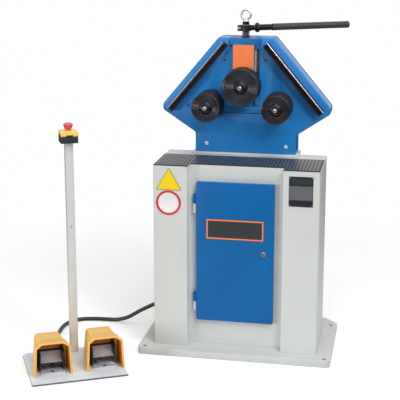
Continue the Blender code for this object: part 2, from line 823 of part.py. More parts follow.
# Worm gearbox bolted behind the rear plate, with its motor hanging below it
GEARBOX_BACK = 0.500
GEARBOX_HALF_WIDTH = 0.070
GEARBOX_HALF_HEIGHT = 0.080
GEARBOX_FLANGE_RADIUS = 0.072
GEARBOX_FLANGE = 0.018
GEARBOX_BEVEL = 0.012
flange_front = rear_plate_back + GAP
gearbox_low, gearbox_high = pinion_height - GEARBOX_HALF_HEIGHT, pinion_height + GEARBOX_HALF_HEIGHT
gearbox = block(
    "gearbox_housing",
    (ROLL_OFFSET - GEARBOX_HALF_WIDTH, flange_front + GEARBOX_FLANGE / 2, gearbox_low),
    (ROLL_OFFSET + GEARBOX_HALF_WIDTH, GEARBOX_BACK, gearbox_high),
    GEARBOX_GREY,
)
bevel(gearbox, GEARBOX_BEVEL, CORNER_STEPS)
weld(
    gearbox,
    rod(
        "gearbox_flange",
        GEARBOX_FLANGE_RADIUS,
        (ROLL_OFFSET, flange_front, pinion_height),
        GEARBOX_FLANGE,
        "Y",
        GEARBOX_GREY,
    ),
)
cut(
    gearbox,
    rod(
        "gearbox_bore",
        DRIVE_SHAFT_RADIUS + RUNNING_GAP,
        (ROLL_OFFSET, flange_front - OVERRUN, pinion_height),
        DRIVE_SHAFT_END + GAP - flange_front + OVERRUN,
        "Y",
        GEARBOX_GREY,
    ),
)

# Motor: finned body, fan cowl at its foot and a terminal box whose conduit enters the cabinet's rear wall
MOTOR_AXIS_BACK = 0.443
MOTOR_BODY_RADIUS = 0.055
MOTOR_FIN_RADIUS = 0.062
MOTOR_FINS = 16
FIN_RADII = (MOTOR_BODY_RADIUS, MOTOR_BODY_RADIUS, MOTOR_FIN_RADIUS, MOTOR_FIN_RADIUS)
FIN_TURN_SHARES = (0.0, 0.5, 0.6, 0.9)
MOTOR_LENGTH = 0.220
COWL_RADIUS = 0.066
COWL_LENGTH = 0.050
COWL_TAPER = 0.010
TERMINAL_BOX_HALF_WIDTH = 0.045
TERMINAL_BOX_FRONT = 0.345
motor_top = gearbox_low - GAP
terminal_low = conduit_height - TERMINAL_BOX_HALF_HEIGHT
terminal_high = conduit_height + TERMINAL_BOX_HALF_HEIGHT
motor_low = motor_top - MOTOR_LENGTH
fins = []
for k in range(MOTOR_FINS):
    for radius, turn_share in zip(FIN_RADII, FIN_TURN_SHARES):
        angle = math.tau * (k + turn_share) / MOTOR_FINS
        fins.append((radius * math.cos(angle), radius * math.sin(angle)))
motor = cut_flat(
    "drive_motor",
    [fins],
    MOTOR_LENGTH,
    GEARBOX_GREY,
    (ROLL_OFFSET, MOTOR_AXIS_BACK, (motor_top + motor_low) / 2),
)
weld(
    motor,
    turned(
        "fan_cowl",
        [
            (0.0, COWL_TAPER),
            (COWL_RADIUS, COWL_TAPER),
            (COWL_RADIUS, -COWL_LENGTH + COWL_TAPER),
            (COWL_RADIUS - COWL_TAPER, -COWL_LENGTH),
            (0.0, -COWL_LENGTH),
        ],
        GEARBOX_GREY,
        (ROLL_OFFSET, MOTOR_AXIS_BACK, motor_low),
        (0.0, 0.0, 0.0),
    ),
)
weld(
    motor,
    block(
        "terminal_box",
        (ROLL_OFFSET - TERMINAL_BOX_HALF_WIDTH, TERMINAL_BOX_FRONT, terminal_low),
        (ROLL_OFFSET + TERMINAL_BOX_HALF_WIDTH, MOTOR_AXIS_BACK - MOTOR_BODY_RADIUS / 2, terminal_high),
        GEARBOX_GREY,
    ),
)
conduit_end = CABINET_DEPTH - SHEET - FRAME_WALL_GAP / 2
weld(
    motor,
    rod(
        "conduit",
        CONDUIT_RADIUS,
        (ROLL_OFFSET, conduit_end, conduit_height),
        TERMINAL_BOX_FRONT - conduit_end + OVERRUN,
        "Y",
        GEARBOX_GREY,
    ),
)

# Bridge across the slot's top, with the screw's bore
BRIDGE_PROUD = 0.012
SCREW_BACK = 0.287
SCREW_RADIUS = 0.0135
bridge_block = block(
    "bridge_block",
    (ROLL_OFFSET - SLOT_HALF_WIDTH + GAP, HEAD_FRONT - BRIDGE_PROUD, bridge_low + GAP),
    (slot_right - GAP, BRIDGE_BACK - GAP, head_top),
    BLUE_PAINT,
)
screw_start = (ROLL_OFFSET, SCREW_BACK, bridge_low - OVERRUN)
cut(
    bridge_block,
    rod("bridge_bore", SCREW_RADIUS + RUNNING_GAP, screw_start, BRIDGE_HEIGHT + 2 * OVERRUN, "Z", BLUE_PAINT),
)

# Gib: the adjustable strip that fills the slot on the carriage's right
GIB_SUNK = 0.003
block(
    "carriage_gib",
    (ROLL_OFFSET + CARRIAGE_HALF_WIDTH + RUNNING_GAP, HEAD_FRONT + GIB_SUNK, slot_bottom + GAP),
    (slot_right - GAP, cavity_front, bridge_low),
    BLACK_STEEL,
)

# Carriage: a steel slide between the slot's left edge and the gib, wider behind them.
# It is bored for the top shaft, the nut and the screw
CARRIAGE_PROUD = 0.045
CARRIAGE_FLANGE_HALF_WIDTH = 0.060
CARRIAGE_BACK = 0.318
CARRIAGE_BELOW_AXIS = 0.0365
BUSH_RADIUS = 0.032
BUSH_LENGTH = 0.040
NUT_RADIUS = 0.022
NUT_LENGTH = 0.035
NUT_SUNK = 0.0163
TOP_SHAFT_COLLAR = 0.005
SCREW_END_CLEARANCE = 0.004
carriage_front = HEAD_FRONT - CARRIAGE_PROUD
carriage_top, carriage_bottom = bridge_low - GAP, top_roll_height - CARRIAGE_BELOW_AXIS
nut_bottom = carriage_top - NUT_SUNK - NUT_LENGTH
neck_back = cavity_front + RUNNING_GAP
carriage = block(
    "carriage",
    (ROLL_OFFSET - CARRIAGE_HALF_WIDTH, carriage_front, carriage_bottom),
    (ROLL_OFFSET + CARRIAGE_HALF_WIDTH, CARRIAGE_BACK, carriage_top),
    BRIGHT_STEEL,
)
weld(
    carriage,
    block(
        "carriage_flange",
        (ROLL_OFFSET - CARRIAGE_FLANGE_HALF_WIDTH, neck_back, carriage_bottom + OVERRUN / 2),
        (ROLL_OFFSET + CARRIAGE_FLANGE_HALF_WIDTH, CARRIAGE_BACK - OVERRUN / 2, carriage_top - OVERRUN / 2),
        BRIGHT_STEEL,
    ),
)
screw_end = top_roll_height + SHAFT_RADIUS + 2 * SCREW_END_CLEARANCE
for name, radius, start, length, axis, steps in (
    (
        "bush_bore",
        BUSH_RADIUS,
        (ROLL_OFFSET, carriage_front - OVERRUN, top_roll_height),
        BUSH_LENGTH + OVERRUN,
        "Y",
        BEARING_STEPS,
    ),
    (
        "top_shaft_bore",
        SHAFT_RADIUS + RUNNING_GAP,
        (ROLL_OFFSET, carriage_front, top_roll_height),
        CARRIAGE_BACK - carriage_front + OVERRUN,
        "Y",
        ROUND_STEPS,
    ),
    (
        "nut_bore",
        NUT_RADIUS + GAP,
        (ROLL_OFFSET, SCREW_BACK, nut_bottom - GAP),
        carriage_top - nut_bottom + GAP + OVERRUN,
        "Z",
        ROUND_STEPS,
    ),
    (
        "screw_bore",
        SCREW_RADIUS + OVERRUN,
        (ROLL_OFFSET, SCREW_BACK, screw_end - SCREW_END_CLEARANCE),
        carriage_top - screw_end,
        "Z",
        ROUND_STEPS,
    ),
):
    cut(carriage, rod(name, radius, start, length, axis, BRIGHT_STEEL, steps))
turned(
    "carriage_bush",
    [
        (bore, 0.0),
        (BUSH_RADIUS - GAP, 0.0),
        (BUSH_RADIUS - GAP, GAP - BUSH_LENGTH),
        (bore, GAP - BUSH_LENGTH),
    ],
    BRONZE,
    (ROLL_OFFSET, carriage_front, top_roll_height),
    UPRIGHT,
    BEARING_STEPS,
    ring=True,
)
turned(
    "screw_nut",
    [
        (SCREW_RADIUS + RUNNING_GAP, NUT_LENGTH),
        (NUT_RADIUS, NUT_LENGTH),
        (NUT_RADIUS, 0.0),
        (SCREW_RADIUS + RUNNING_GAP, 0.0),
    ],
    BRONZE,
    (ROLL_OFFSET, SCREW_BACK, nut_bottom),
    (0.0, 0.0, 0.0),
    ring=True,
)
collar_at = CARRIAGE_BACK + GAP
collar_end = collar_at + TOP_SHAFT_COLLAR
shaft("top_shaft", ROLL_OFFSET, top_roll_height, collar_at, collar_end, collar_end + SHAFT_TAIL)
cap("top_roll_cap", ROLL_OFFSET, top_roll_height)

# Lead screw, held by a collar above and below the bridge, with a slimmer end for the ratchet
COLLAR_RADIUS = 0.019
COLLAR_THICKNESS = 0.005
SPINDLE_RISE = 0.0269
RATCHET_BORE_RADIUS = 0.0110
RATCHET_HEIGHT = 0.026
spindle_top = head_top + SPINDLE_RISE
ratchet_low = spindle_top + GAP
ratchet_top = ratchet_low + RATCHET_HEIGHT
stub_top = ratchet_top + GAP
below, above = bridge_low, head_top + GAP
up = lambda z: z - spindle_top
turned(
    "lead_screw",
    [
        (0.0, up(stub_top)),
        (RATCHET_BORE_RADIUS, up(stub_top)),
        (RATCHET_BORE_RADIUS, 0.0),
        (SCREW_RADIUS, 0.0),
        (SCREW_RADIUS, up(above + COLLAR_THICKNESS)),
        (COLLAR_RADIUS, up(above + COLLAR_THICKNESS)),
        (COLLAR_RADIUS, up(above)),
        (SCREW_RADIUS, up(above)),
        (SCREW_RADIUS, up(below)),
        (COLLAR_RADIUS, up(below)),
        (COLLAR_RADIUS, up(below - COLLAR_THICKNESS)),
        (SCREW_RADIUS, up(below - COLLAR_THICKNESS)),
        (SCREW_RADIUS, up(screw_end)),
        (0.0, up(screw_end)),
    ],
    BLACK_STEEL,
    (ROLL_OFFSET, SCREW_BACK, spindle_top),
    (0.0, 0.0, 0.0),
    BAR_STEPS,
)

# Eye bolt on the screw's top: a collar nut that keeps the ratchet on, and a lifting ring
EYE_COLLAR_RADIUS = 0.0125
EYE_COLLAR = 0.0205
EYE_RING_RADIUS = 0.020
EYE_WIRE_RADIUS = 0.0050
EYE_NECK_RADIUS = 0.0065
EYE_STEPS = 16
eye_low = stub_top + GAP
eye_neck_top = eye_low + EYE_COLLAR + EYE_WIRE_RADIUS
eye_centre = eye_low + EYE_COLLAR + EYE_WIRE_RADIUS / 2 + EYE_RING_RADIUS
eye_bolt = turned(
    "eye_bolt",
    [
        (0.0, eye_neck_top - eye_low),
        (EYE_NECK_RADIUS, eye_neck_top - eye_low),
        (EYE_NECK_RADIUS, EYE_COLLAR),
        (EYE_COLLAR_RADIUS, EYE_COLLAR),
        (EYE_COLLAR_RADIUS, 0.0),
        (0.0, 0.0),
    ],
    BRIGHT_STEEL,
    (ROLL_OFFSET, SCREW_BACK, eye_low),
    (0.0, 0.0, 0.0),
)
ring = bpy.data.curves.new("eye_ring", "CURVE")
ring.dimensions = "3D"
ring.bevel_depth = EYE_WIRE_RADIUS
ring.bevel_resolution = 2
loop = ring.splines.new("POLY")
eye_points = circle(EYE_RING_RADIUS, steps=EYE_STEPS)
loop.points.add(len(eye_points) - 1)
for point, (x, z) in zip(loop.points, eye_points):
    point.co = (x, 0.0, z, 1.0)
loop.use_cyclic_u = True
drawn_ring = bpy.data.objects.new("eye_ring_curve", ring)
place(drawn_ring, BRIGHT_STEEL, (ROLL_OFFSET, SCREW_BACK, eye_centre))
weld(eye_bolt, as_mesh(drawn_ring, "eye_ring", BRIGHT_STEEL))

# Ratchet handle, turned back from the machine's front: head with a forked tail, bar and grip
HANDLE_TURN = math.radians(30)
RATCHET_RADIUS = 0.021
TAIL_LENGTH = 0.036
TAIL_HALF_WIDTH = 0.010
FORK_DEPTH = 0.013
FORK_MOUTH = 0.009
SOCKET_RADIUS = 0.0120
SOCKET_END = 0.030
BAR_RADIUS = 0.0110
BAR_COLLAR_RADIUS = 0.0185
BAR_COLLAR_AT = 0.046
BAR_COLLAR_WIDTH = 0.011
GRIP_START = 0.119
GRIP_END = 0.487
GRIP_RADIUS = 0.0138
GRIP_CORE_RADIUS = 0.0090
CORE_END = 0.400
GRIP_END_RADIUS = 0.008
handle = empty(
    "handle_axis", (ROLL_OFFSET, SCREW_BACK, ratchet_low + RATCHET_HEIGHT / 2), (0.0, 0.0, HANDLE_TURN)
)
ratchet_half = RATCHET_HEIGHT / 2
ratchet = rod(
    "ratchet_head", RATCHET_RADIUS, (0.0, 0.0, -ratchet_half), RATCHET_HEIGHT, "Z", BLACK_STEEL, parent=handle
)
weld(
    ratchet,
    block(
        "ratchet_tail",
        (-TAIL_LENGTH, -TAIL_HALF_WIDTH, OVERRUN / 2 - ratchet_half),
        (-RATCHET_BORE_RADIUS - OVERRUN, TAIL_HALF_WIDTH, ratchet_half - OVERRUN / 2),
        BLACK_STEEL,
        parent=handle,
    ),
)
weld(
    ratchet,
    rod(
        "ratchet_socket",
        SOCKET_RADIUS,
        (RATCHET_BORE_RADIUS + OVERRUN, 0.0, 0.0),
        SOCKET_END - RATCHET_BORE_RADIUS - OVERRUN,
        "X",
        BLACK_STEEL,
        parent=handle,
    ),
)
cut(
    ratchet,
    block(
        "fork_mouth",
        (-TAIL_LENGTH - OVERRUN, -TAIL_HALF_WIDTH - OVERRUN, -FORK_MOUTH / 2),
        (FORK_DEPTH - TAIL_LENGTH, TAIL_HALF_WIDTH + OVERRUN, FORK_MOUTH / 2),
        BLACK_STEEL,
        parent=handle,
    ),
)
cut(
    ratchet,
    rod(
        "ratchet_bore",
        RATCHET_BORE_RADIUS + RUNNING_GAP,
        (0.0, 0.0, -ratchet_half - OVERRUN),
        RATCHET_HEIGHT + 2 * OVERRUN,
        "Z",
        BLACK_STEEL,
        parent=handle,
    ),
)
ALONG = (0.0, -math.pi / 2, 0.0)
bar_start = SOCKET_END + GAP
turned(
    "handle_bar",
    [
        (0.0, -bar_start),
        (BAR_RADIUS, -bar_start),
        (BAR_RADIUS, -BAR_COLLAR_AT),
        (BAR_COLLAR_RADIUS, -BAR_COLLAR_AT),
        (BAR_COLLAR_RADIUS, -BAR_COLLAR_AT - BAR_COLLAR_WIDTH),
        (BAR_RADIUS, -BAR_COLLAR_AT - BAR_COLLAR_WIDTH),
        (BAR_RADIUS, -GRIP_START),
        (GRIP_CORE_RADIUS, -GRIP_START),
        (GRIP_CORE_RADIUS, -CORE_END),
        (0.0, -CORE_END),
    ],
    BLACK_STEEL,
    (0.0, 0.0, 0.0),
    ALONG,
    BAR_STEPS,
    parent=handle,
)
GRIP_END_STEPS = 3
round_end = [
    (
        GRIP_RADIUS - GRIP_END_RADIUS * (1 - math.cos(turn)),
        -GRIP_END + GRIP_END_RADIUS * (1 - math.sin(turn)),
    )
    for turn in (math.pi / 2 * k / GRIP_END_STEPS for k in range(GRIP_END_STEPS + 1))
]
grip_bore = GRIP_CORE_RADIUS + GAP
turned(
    "handle_grip",
    [
        (grip_bore, -GRIP_START - GAP),
        (GRIP_RADIUS, -GRIP_START - GAP),
        *round_end,
        (0.0, -GRIP_END),
        (0.0, -CORE_END - GAP),
        (grip_bore, -CORE_END - GAP),
    ],
    BLACK_PLASTIC,
    (0.0, 0.0, 0.0),
    ALONG,
    BAR_STEPS,
    ring=True,
    parent=handle,
)

# Guide rails on the head's face: slotted bars, parallel to the sloping sides
RAIL_WIDTH = 0.026
RAIL_HEIGHT = 0.038
RAIL_SLOT = 0.008
RAIL_SLOT_DEPTH = 0.012
RAIL_UNDERCUT = 0.004
RAIL_INSET = 0.0413
RAIL_LOW_START = 0.0084
RAIL_TOP_RISE = 0.0026
rail_half, mouth = RAIL_WIDTH / 2, RAIL_SLOT / 2
deep, under = RAIL_HEIGHT - RAIL_SLOT_DEPTH, RAIL_HEIGHT - RAIL_SLOT_DEPTH / 2
rail_section = [
    (-rail_half, 0.0),
    (rail_half, 0.0),
    (rail_half, RAIL_HEIGHT),
    (mouth, RAIL_HEIGHT),
    (mouth, under),
    (mouth + RAIL_UNDERCUT, under),
    (mouth + RAIL_UNDERCUT, deep),
    (-mouth - RAIL_UNDERCUT, deep),
    (-mouth - RAIL_UNDERCUT, under),
    (-mouth, under),
    (-mouth, RAIL_HEIGHT),
    (-rail_half, RAIL_HEIGHT),
]
for side, sign in (("left", -1), ("right", 1)):
    top = Vector((sign * top_half, HEAD_FRONT - GAP, head_top))
    low = Vector((sign * head_half, HEAD_FRONT - GAP, side_corner_high))
    along, off = (low - top).normalized(), Vector((0.0, -1.0, 0.0))
    inward = along.cross(off) * sign
    top += inward * RAIL_INSET - along * RAIL_TOP_RISE
    low += inward * RAIL_INSET - along * RAIL_LOW_START
    axes = Matrix((off.cross(along), off, along)).transposed()
    cut_flat(
        f"guide_rail_{side}",
        [rail_section],
        (low - top).length,
        BLACK_STEEL,
        (top + low) / 2,
        axes.to_euler(),
    )

# Door: a folded tray that laps the opening, on two lift-off hinges, with a turning lock
DOOR_THICKNESS = 0.018
DOOR_SEAL_GAP = 0.0008
DOOR_CORNER_RADIUS = 0.006
HINGE_OFFSET = 0.008
HINGE_RADIUS = 0.0074
HINGE_PIN_RADIUS = 0.0045
HINGE_HEIGHT = 0.082
HINGE_TOPS = (0.698, 0.264)
HINGE_LEAF = 0.003
HINGE_LEAF_WIDTH = 0.014
HINGE_PIN_SHARE = 0.85
LOCK_ACROSS = 0.116
LOCK_HEIGHT = 0.449
LOCK_RADIUS = 0.009
LOCK_HEAD_RADIUS = 0.013
LOCK_HEAD = 0.003
TONGUE_LENGTH = 0.055
TONGUE_HALF_WIDTH = 0.007
TONGUE_THICKNESS = 0.003
TONGUE_CLEARANCE = 0.003
door_back = RECESS_DEPTH - DOOR_SEAL_GAP
door_front = door_back - DOOR_THICKNESS
hinge_x, hinge_y = DOOR_LEFT - HINGE_OFFSET, (door_front + door_back) / 2
door_ring = [(x - hinge_x, z) for x, z in rectangle(DOOR_LEFT, DOOR_RIGHT, DOOR_BOTTOM, door_top)]
door = cut_flat(
    "door",
    [rounded(door_ring, [DOOR_CORNER_RADIUS] * 4, CORNER_STEPS)],
    DOOR_THICKNESS,
    BLUE_PAINT,
    (hinge_x, hinge_y, 0.0),
    UPRIGHT,
)
cut(
    door,
    block(
        "door_tray",
        (DOOR_LEFT + SHEET, door_front + SHEET, DOOR_BOTTOM + SHEET),
        (DOOR_RIGHT - SHEET, door_back + OVERRUN, door_top - SHEET),
        BLUE_PAINT,
    ),
)
cut(
    door,
    rod(
        "lock_hole",
        LOCK_RADIUS + RUNNING_GAP,
        (LOCK_ACROSS, door_front - OVERRUN, LOCK_HEIGHT),
        SHEET + 2 * OVERRUN,
        "Y",
        BLUE_PAINT,
    ),
)
for name, top in zip(("upper", "lower"), HINGE_TOPS):
    middle, foot = top - HINGE_HEIGHT / 2, top - HINGE_HEIGHT
    weld(
        door,
        block(
            f"door_leaf_{name}",
            (hinge_x, hinge_y - HINGE_LEAF / 2, middle + GAP),
            (DOOR_LEFT + SHEET / 2, hinge_y + HINGE_LEAF / 2, top),
            BLUE_PAINT,
        ),
    )
    weld(
        door,
        rod(
            f"door_knuckle_{name}",
            HINGE_RADIUS,
            (hinge_x, hinge_y, middle + GAP / 2),
            HINGE_HEIGHT / 2 - GAP / 2,
            "Z",
            BLUE_PAINT,
            FINE_STEPS,
        ),
    )
    pin_top = middle + HINGE_PIN_SHARE * HINGE_HEIGHT / 2
    cut(
        door,
        rod(
            f"pin_bore_{name}",
            HINGE_PIN_RADIUS + RUNNING_GAP,
            (hinge_x, hinge_y, middle - OVERRUN),
            pin_top - middle + OVERRUN + GAP,
            "Z",
            BLUE_PAINT,
            FINE_STEPS,
        ),
    )
    post = turned(
        f"hinge_post_{name}",
        [
            (0.0, pin_top - foot),
            (HINGE_PIN_RADIUS, pin_top - foot),
            (HINGE_PIN_RADIUS, HINGE_HEIGHT / 2 - GAP / 2),
            (HINGE_RADIUS, HINGE_HEIGHT / 2 - GAP / 2),
            (HINGE_RADIUS, 0.0),
            (0.0, 0.0),
        ],
        GREY_PAINT,
        (hinge_x, hinge_y, foot),
        (0.0, 0.0, 0.0),
        FINE_STEPS,
    )
    weld(
        post,
        block(
            f"post_leaf_{name}",
            (hinge_x - HINGE_LEAF_WIDTH / 2, hinge_y, foot),
            (hinge_x + HINGE_LEAF / 2, RECESS_DEPTH - GAP, middle - GAP),
            GREY_PAINT,
        ),
    )
lock_length = RECESS_DEPTH + SHEET + TONGUE_CLEARANCE + TONGUE_THICKNESS - door_front
door_lock = turned(
    "door_lock",
    [
        (0.0, LOCK_HEAD + GAP),
        (LOCK_HEAD_RADIUS, LOCK_HEAD + GAP),
        (LOCK_HEAD_RADIUS, GAP),
        (LOCK_RADIUS, GAP),
        (LOCK_RADIUS, -lock_length),
        (0.0, -lock_length),
    ],
    BRIGHT_STEEL,
    (LOCK_ACROSS, door_front, LOCK_HEIGHT),
    UPRIGHT,
)
tongue_back = door_front + lock_length - GAP
weld(
    door_lock,
    block(
        "lock_tongue",
        (LOCK_ACROSS - TONGUE_HALF_WIDTH, tongue_back - TONGUE_THICKNESS, LOCK_HEIGHT - TONGUE_LENGTH),
        (LOCK_ACROSS + TONGUE_HALF_WIDTH, tongue_back, LOCK_HEIGHT),
        BRIGHT_STEEL,
    ),
)

# Cable glands in the cabinet: the control cable's, with its tapered sleeve, and the mains lead's
GLAND_FLANGE_RADIUS = 0.0165
GLAND_FLANGE = 0.006
GLAND_DOME_RADIUS = 0.0140
GLAND_DOME = 0.012
SLEEVE_LENGTH = 0.022
CABLE_RADIUS = 0.009
SLEEVE_WALL = 0.002
gland_out = GLAND_FLANGE + GLAND_DOME + SLEEVE_LENGTH


def gland_profile(inner):
    """From the cable's end down to the threaded end inside the wall."""
    return [
        (0.0, gland_out),
        (CABLE_RADIUS, gland_out),
        (CABLE_RADIUS + SLEEVE_WALL, gland_out - SLEEVE_LENGTH),
        (GLAND_DOME_RADIUS, gland_out - SLEEVE_LENGTH),
        (GLAND_DOME_RADIUS, GLAND_FLANGE),
        (GLAND_FLANGE_RADIUS, GLAND_FLANGE),
        (GLAND_FLANGE_RADIUS, 0.0),
        (GLAND_THREAD_RADIUS, 0.0),
        (GLAND_THREAD_RADIUS, -inner),
        (0.0, -inner),
    ]


gland_inner = SHEET + GLAND_FLANGE
turned(
    "control_gland",
    gland_profile(gland_inner),
    BLACK_PLASTIC,
    (-half - GAP, CONTROL_GLAND_BACK, CONTROL_GLAND_HEIGHT),
    (0.0, -math.pi / 2, 0.0),
    BAR_STEPS,
)
MAINS_BORE_RADIUS = 0.006
gland_short = GLAND_FLANGE + GLAND_DOME
turned(
    "mains_gland",
    [
        (MAINS_BORE_RADIUS, gland_short),
        (GLAND_DOME_RADIUS, gland_short),
        (GLAND_DOME_RADIUS, GLAND_FLANGE),
        (GLAND_FLANGE_RADIUS, GLAND_FLANGE),
        (GLAND_FLANGE_RADIUS, 0.0),
        (GLAND_THREAD_RADIUS, 0.0),
        (GLAND_THREAD_RADIUS, -gland_inner),
        (MAINS_BORE_RADIUS, -gland_inner),
    ],
    BLACK_PLASTIC,
    (MAINS_GLAND_ACROSS, CABINET_DEPTH + GAP, MAINS_GLAND_HEIGHT),
    (-math.pi / 2, 0.0, 0.0),
    BAR_STEPS,
    ring=True,
)

# Pedal stand, turned on the floor beside the machine. Its own X runs along its front edge
STAND_PLACE = (-0.7405, -0.4674, 0.0)
STAND_TURN = math.radians(27)
STAND_WIDTH = 0.392
STAND_DEPTH = 0.332
STAND_PLATE = 0.008
STAND_CORNER = 0.015
stand = empty("stand_corner", STAND_PLACE, (0.0, 0.0, STAND_TURN))
cut_flat(
    "stand_base",
    [
        [
            (0.0, 0.0),
            (STAND_WIDTH, 0.0),
            (STAND_WIDTH, STAND_DEPTH - STAND_CORNER),
            (STAND_WIDTH - STAND_CORNER, STAND_DEPTH),
            (STAND_CORNER, STAND_DEPTH),
            (0.0, STAND_DEPTH - STAND_CORNER),
        ]
    ],
    STAND_PLATE,
    GREY_PAINT,
    (0.0, 0.0, STAND_PLATE / 2),
    parent=stand,
)

# Post: a square tube
POST_SIDE = 0.034
POST_WALL = 0.0025
POST_RADIUS = 0.004
POST_ACROSS = 0.219
POST_BACK = 0.305
POST_TOP = 0.928
post_low = STAND_PLATE + GAP
post_half = POST_SIDE / 2
cut_flat(
    "stand_post",
    [
        rounded(rectangle(-post_half, post_half, -post_half, post_half), [POST_RADIUS] * 4, CORNER_STEPS),
        rectangle(POST_WALL - post_half, post_half - POST_WALL, POST_WALL - post_half, post_half - POST_WALL),
    ],
    POST_TOP - post_low,
    WARM_GREY,
    (POST_ACROSS, POST_BACK, (post_low + POST_TOP) / 2),
    parent=stand,
)

# Stop box on the post: black base, yellow lid and the red mushroom button
BOX_SIDE = 0.072
BOX_RADIUS = 0.005
BOX_BASE_HEIGHT = 0.029
BOX_LID_HEIGHT = 0.017
BOX_WALL = 0.003
BUTTON_RADIUS = 0.0200
BUTTON_SKIRT_RADIUS = 0.0145
BUTTON_STEM_RADIUS = 0.0110
BUTTON_CLEARANCE = 0.008
BUTTON_SKIRT = 0.016
BUTTON_RIM = 0.005
BUTTON_DOME = 0.007
BUTTON_FLAT_SHARE = 0.60
BUTTON_STEM_DEPTH = 0.010
STOP_COLLAR_RADIUS = 0.0165
STOP_COLLAR = 0.003
box_low = POST_TOP + GAP
lid_low = box_low + BOX_BASE_HEIGHT + GAP
lid_top = lid_low + BOX_LID_HEIGHT
box_half = BOX_SIDE / 2
box_ring = rounded(rectangle(-box_half, box_half, -box_half, box_half), [BOX_RADIUS] * 4, CORNER_STEPS)
box_base = cut_flat(
    "stop_box_base",
    [box_ring],
    BOX_BASE_HEIGHT,
    BLACK_PLASTIC,
    (POST_ACROSS, POST_BACK, box_low + BOX_BASE_HEIGHT / 2),
    parent=stand,
)
box_inside = box_half - BOX_WALL
cut(
    box_base,
    block(
        "box_hollow",
        (POST_ACROSS - box_inside, POST_BACK - box_inside, box_low + BOX_WALL),
        (POST_ACROSS + box_inside, POST_BACK + box_inside, lid_low + OVERRUN),
        BLACK_PLASTIC,
        parent=stand,
    ),
)
box_lid = cut_flat(
    "stop_box_lid",
    [box_ring],
    BOX_LID_HEIGHT,
    YELLOW_PLASTIC,
    (POST_ACROSS, POST_BACK, lid_low + BOX_LID_HEIGHT / 2),
    parent=stand,
)
cut(
    box_lid,
    block(
        "lid_hollow",
        (POST_ACROSS - box_inside, POST_BACK - box_inside, lid_low - OVERRUN),
        (POST_ACROSS + box_inside, POST_BACK + box_inside, lid_top - BOX_WALL),
        YELLOW_PLASTIC,
        parent=stand,
    ),
)
weld(
    box_lid,
    rod(
        "stop_collar",
        STOP_COLLAR_RADIUS,
        (POST_ACROSS, POST_BACK, lid_top - BOX_WALL),
        BOX_WALL + STOP_COLLAR,
        "Z",
        YELLOW_PLASTIC,
        parent=stand,
    ),
)
cut(
    box_lid,
    rod(
        "stem_hole",
        BUTTON_STEM_RADIUS + RUNNING_GAP,
        (POST_ACROSS, POST_BACK, lid_top - BOX_WALL - OVERRUN),
        BOX_WALL + STOP_COLLAR + 2 * OVERRUN,
        "Z",
        YELLOW_PLASTIC,
        parent=stand,
    ),
)
skirt_top = BUTTON_CLEARANCE + BUTTON_SKIRT
turned(
    "stop_button",
    [
        (0.0, skirt_top + BUTTON_RIM + BUTTON_DOME),
        (BUTTON_RADIUS * BUTTON_FLAT_SHARE, skirt_top + BUTTON_RIM + BUTTON_DOME / 2),
        (BUTTON_RADIUS, skirt_top + BUTTON_RIM),
        (BUTTON_RADIUS, skirt_top),
        (BUTTON_SKIRT_RADIUS, BUTTON_CLEARANCE),
        (BUTTON_STEM_RADIUS, BUTTON_CLEARANCE),
        (BUTTON_STEM_RADIUS, -BUTTON_STEM_DEPTH),
        (0.0, -BUTTON_STEM_DEPTH),
    ],
    RED_PLASTIC,
    (POST_ACROSS, POST_BACK, lid_top),
    (0.0, 0.0, 0.0),
    parent=stand,
)

# Pedals: each a base with two cheeks and a switch housing, a hinged treadle, and a hood over them
GUARD_PLACES = (("left", 0.096), ("right", 0.3125))
GUARD_FRONT = 0.068
GUARD_SHOULDER_AT = 0.160
GUARD_BACK = 0.245
GUARD_HALF_WIDTH = 0.0775
GUARD_SHOULDER_HALF_WIDTH = 0.071
GUARD_TOP_HALF_WIDTH = 0.048
GUARD_SHOULDER_HEIGHT = 0.131
GUARD_HEIGHT = 0.148
GUARD_WALL = 0.004
GUARD_TAPER_SHARE = 0.92
GUARD_REAR_HALF_WIDTH = 0.066
GUARD_REAR_TOP_HALF_WIDTH = 0.050
GUARD_REAR_HEIGHT = 0.136
GUARD_REAR_TAPER_SHARE = 0.94
PEDAL_FRONT = 0.088
PEDAL_HALF_WIDTH = 0.050
PEDAL_FLOOR = 0.005
CHEEK_THICKNESS = 0.005
CHEEK_HEIGHT = 0.086
CHEEK_FRONT = 0.112
HOUSING_FRONT = 0.191
HOUSING_HEIGHT = 0.100
PIVOT_BACK = 0.182
PIVOT_HEIGHT = 0.068
PIVOT_RADIUS = 0.004
TREADLE_LENGTH = 0.075
TREADLE_THICKNESS = 0.004
TREADLE_SIDE_GAP = 0.001
TREADLE_SLOPE = math.radians(21)
TREADLE_LIP = 0.010
NOTCH_RADIUS = 0.007
FLOOR_HOLE_RADIUS = 0.0045
FLOOR_HOLE_BACK = 0.100
guard_low = STAND_PLATE + GAP


def hood(name, sizes, front, back, taper, grow, finish, across):
    """A hood's solid: its front section, drawn in towards its back end. grow moves it in from the outside."""
    base_half_width, shoulder_half_width, crown_half_width, shoulder, crown = sizes
    section = [
        (-base_half_width, guard_low),
        (base_half_width, guard_low),
        (shoulder_half_width, shoulder),
        (crown_half_width, crown),
        (-crown_half_width, crown),
        (-shoulder_half_width, shoulder),
    ]
    if grow:
        section = [(x, z - (2 * grow if z == min(p[1] for p in section) else 0.0)) for x, z in section]
        section = inset(section, grow)
    solid = cut_flat(name, [section], back - front, finish, (across, (front + back) / 2, 0.0), UPRIGHT, stand)
    for vertex in solid.data.vertices:
        if vertex.co.z < 0:
            vertex.co.x *= taper
            vertex.co.y = guard_low + (vertex.co.y - guard_low) * taper
    return solid


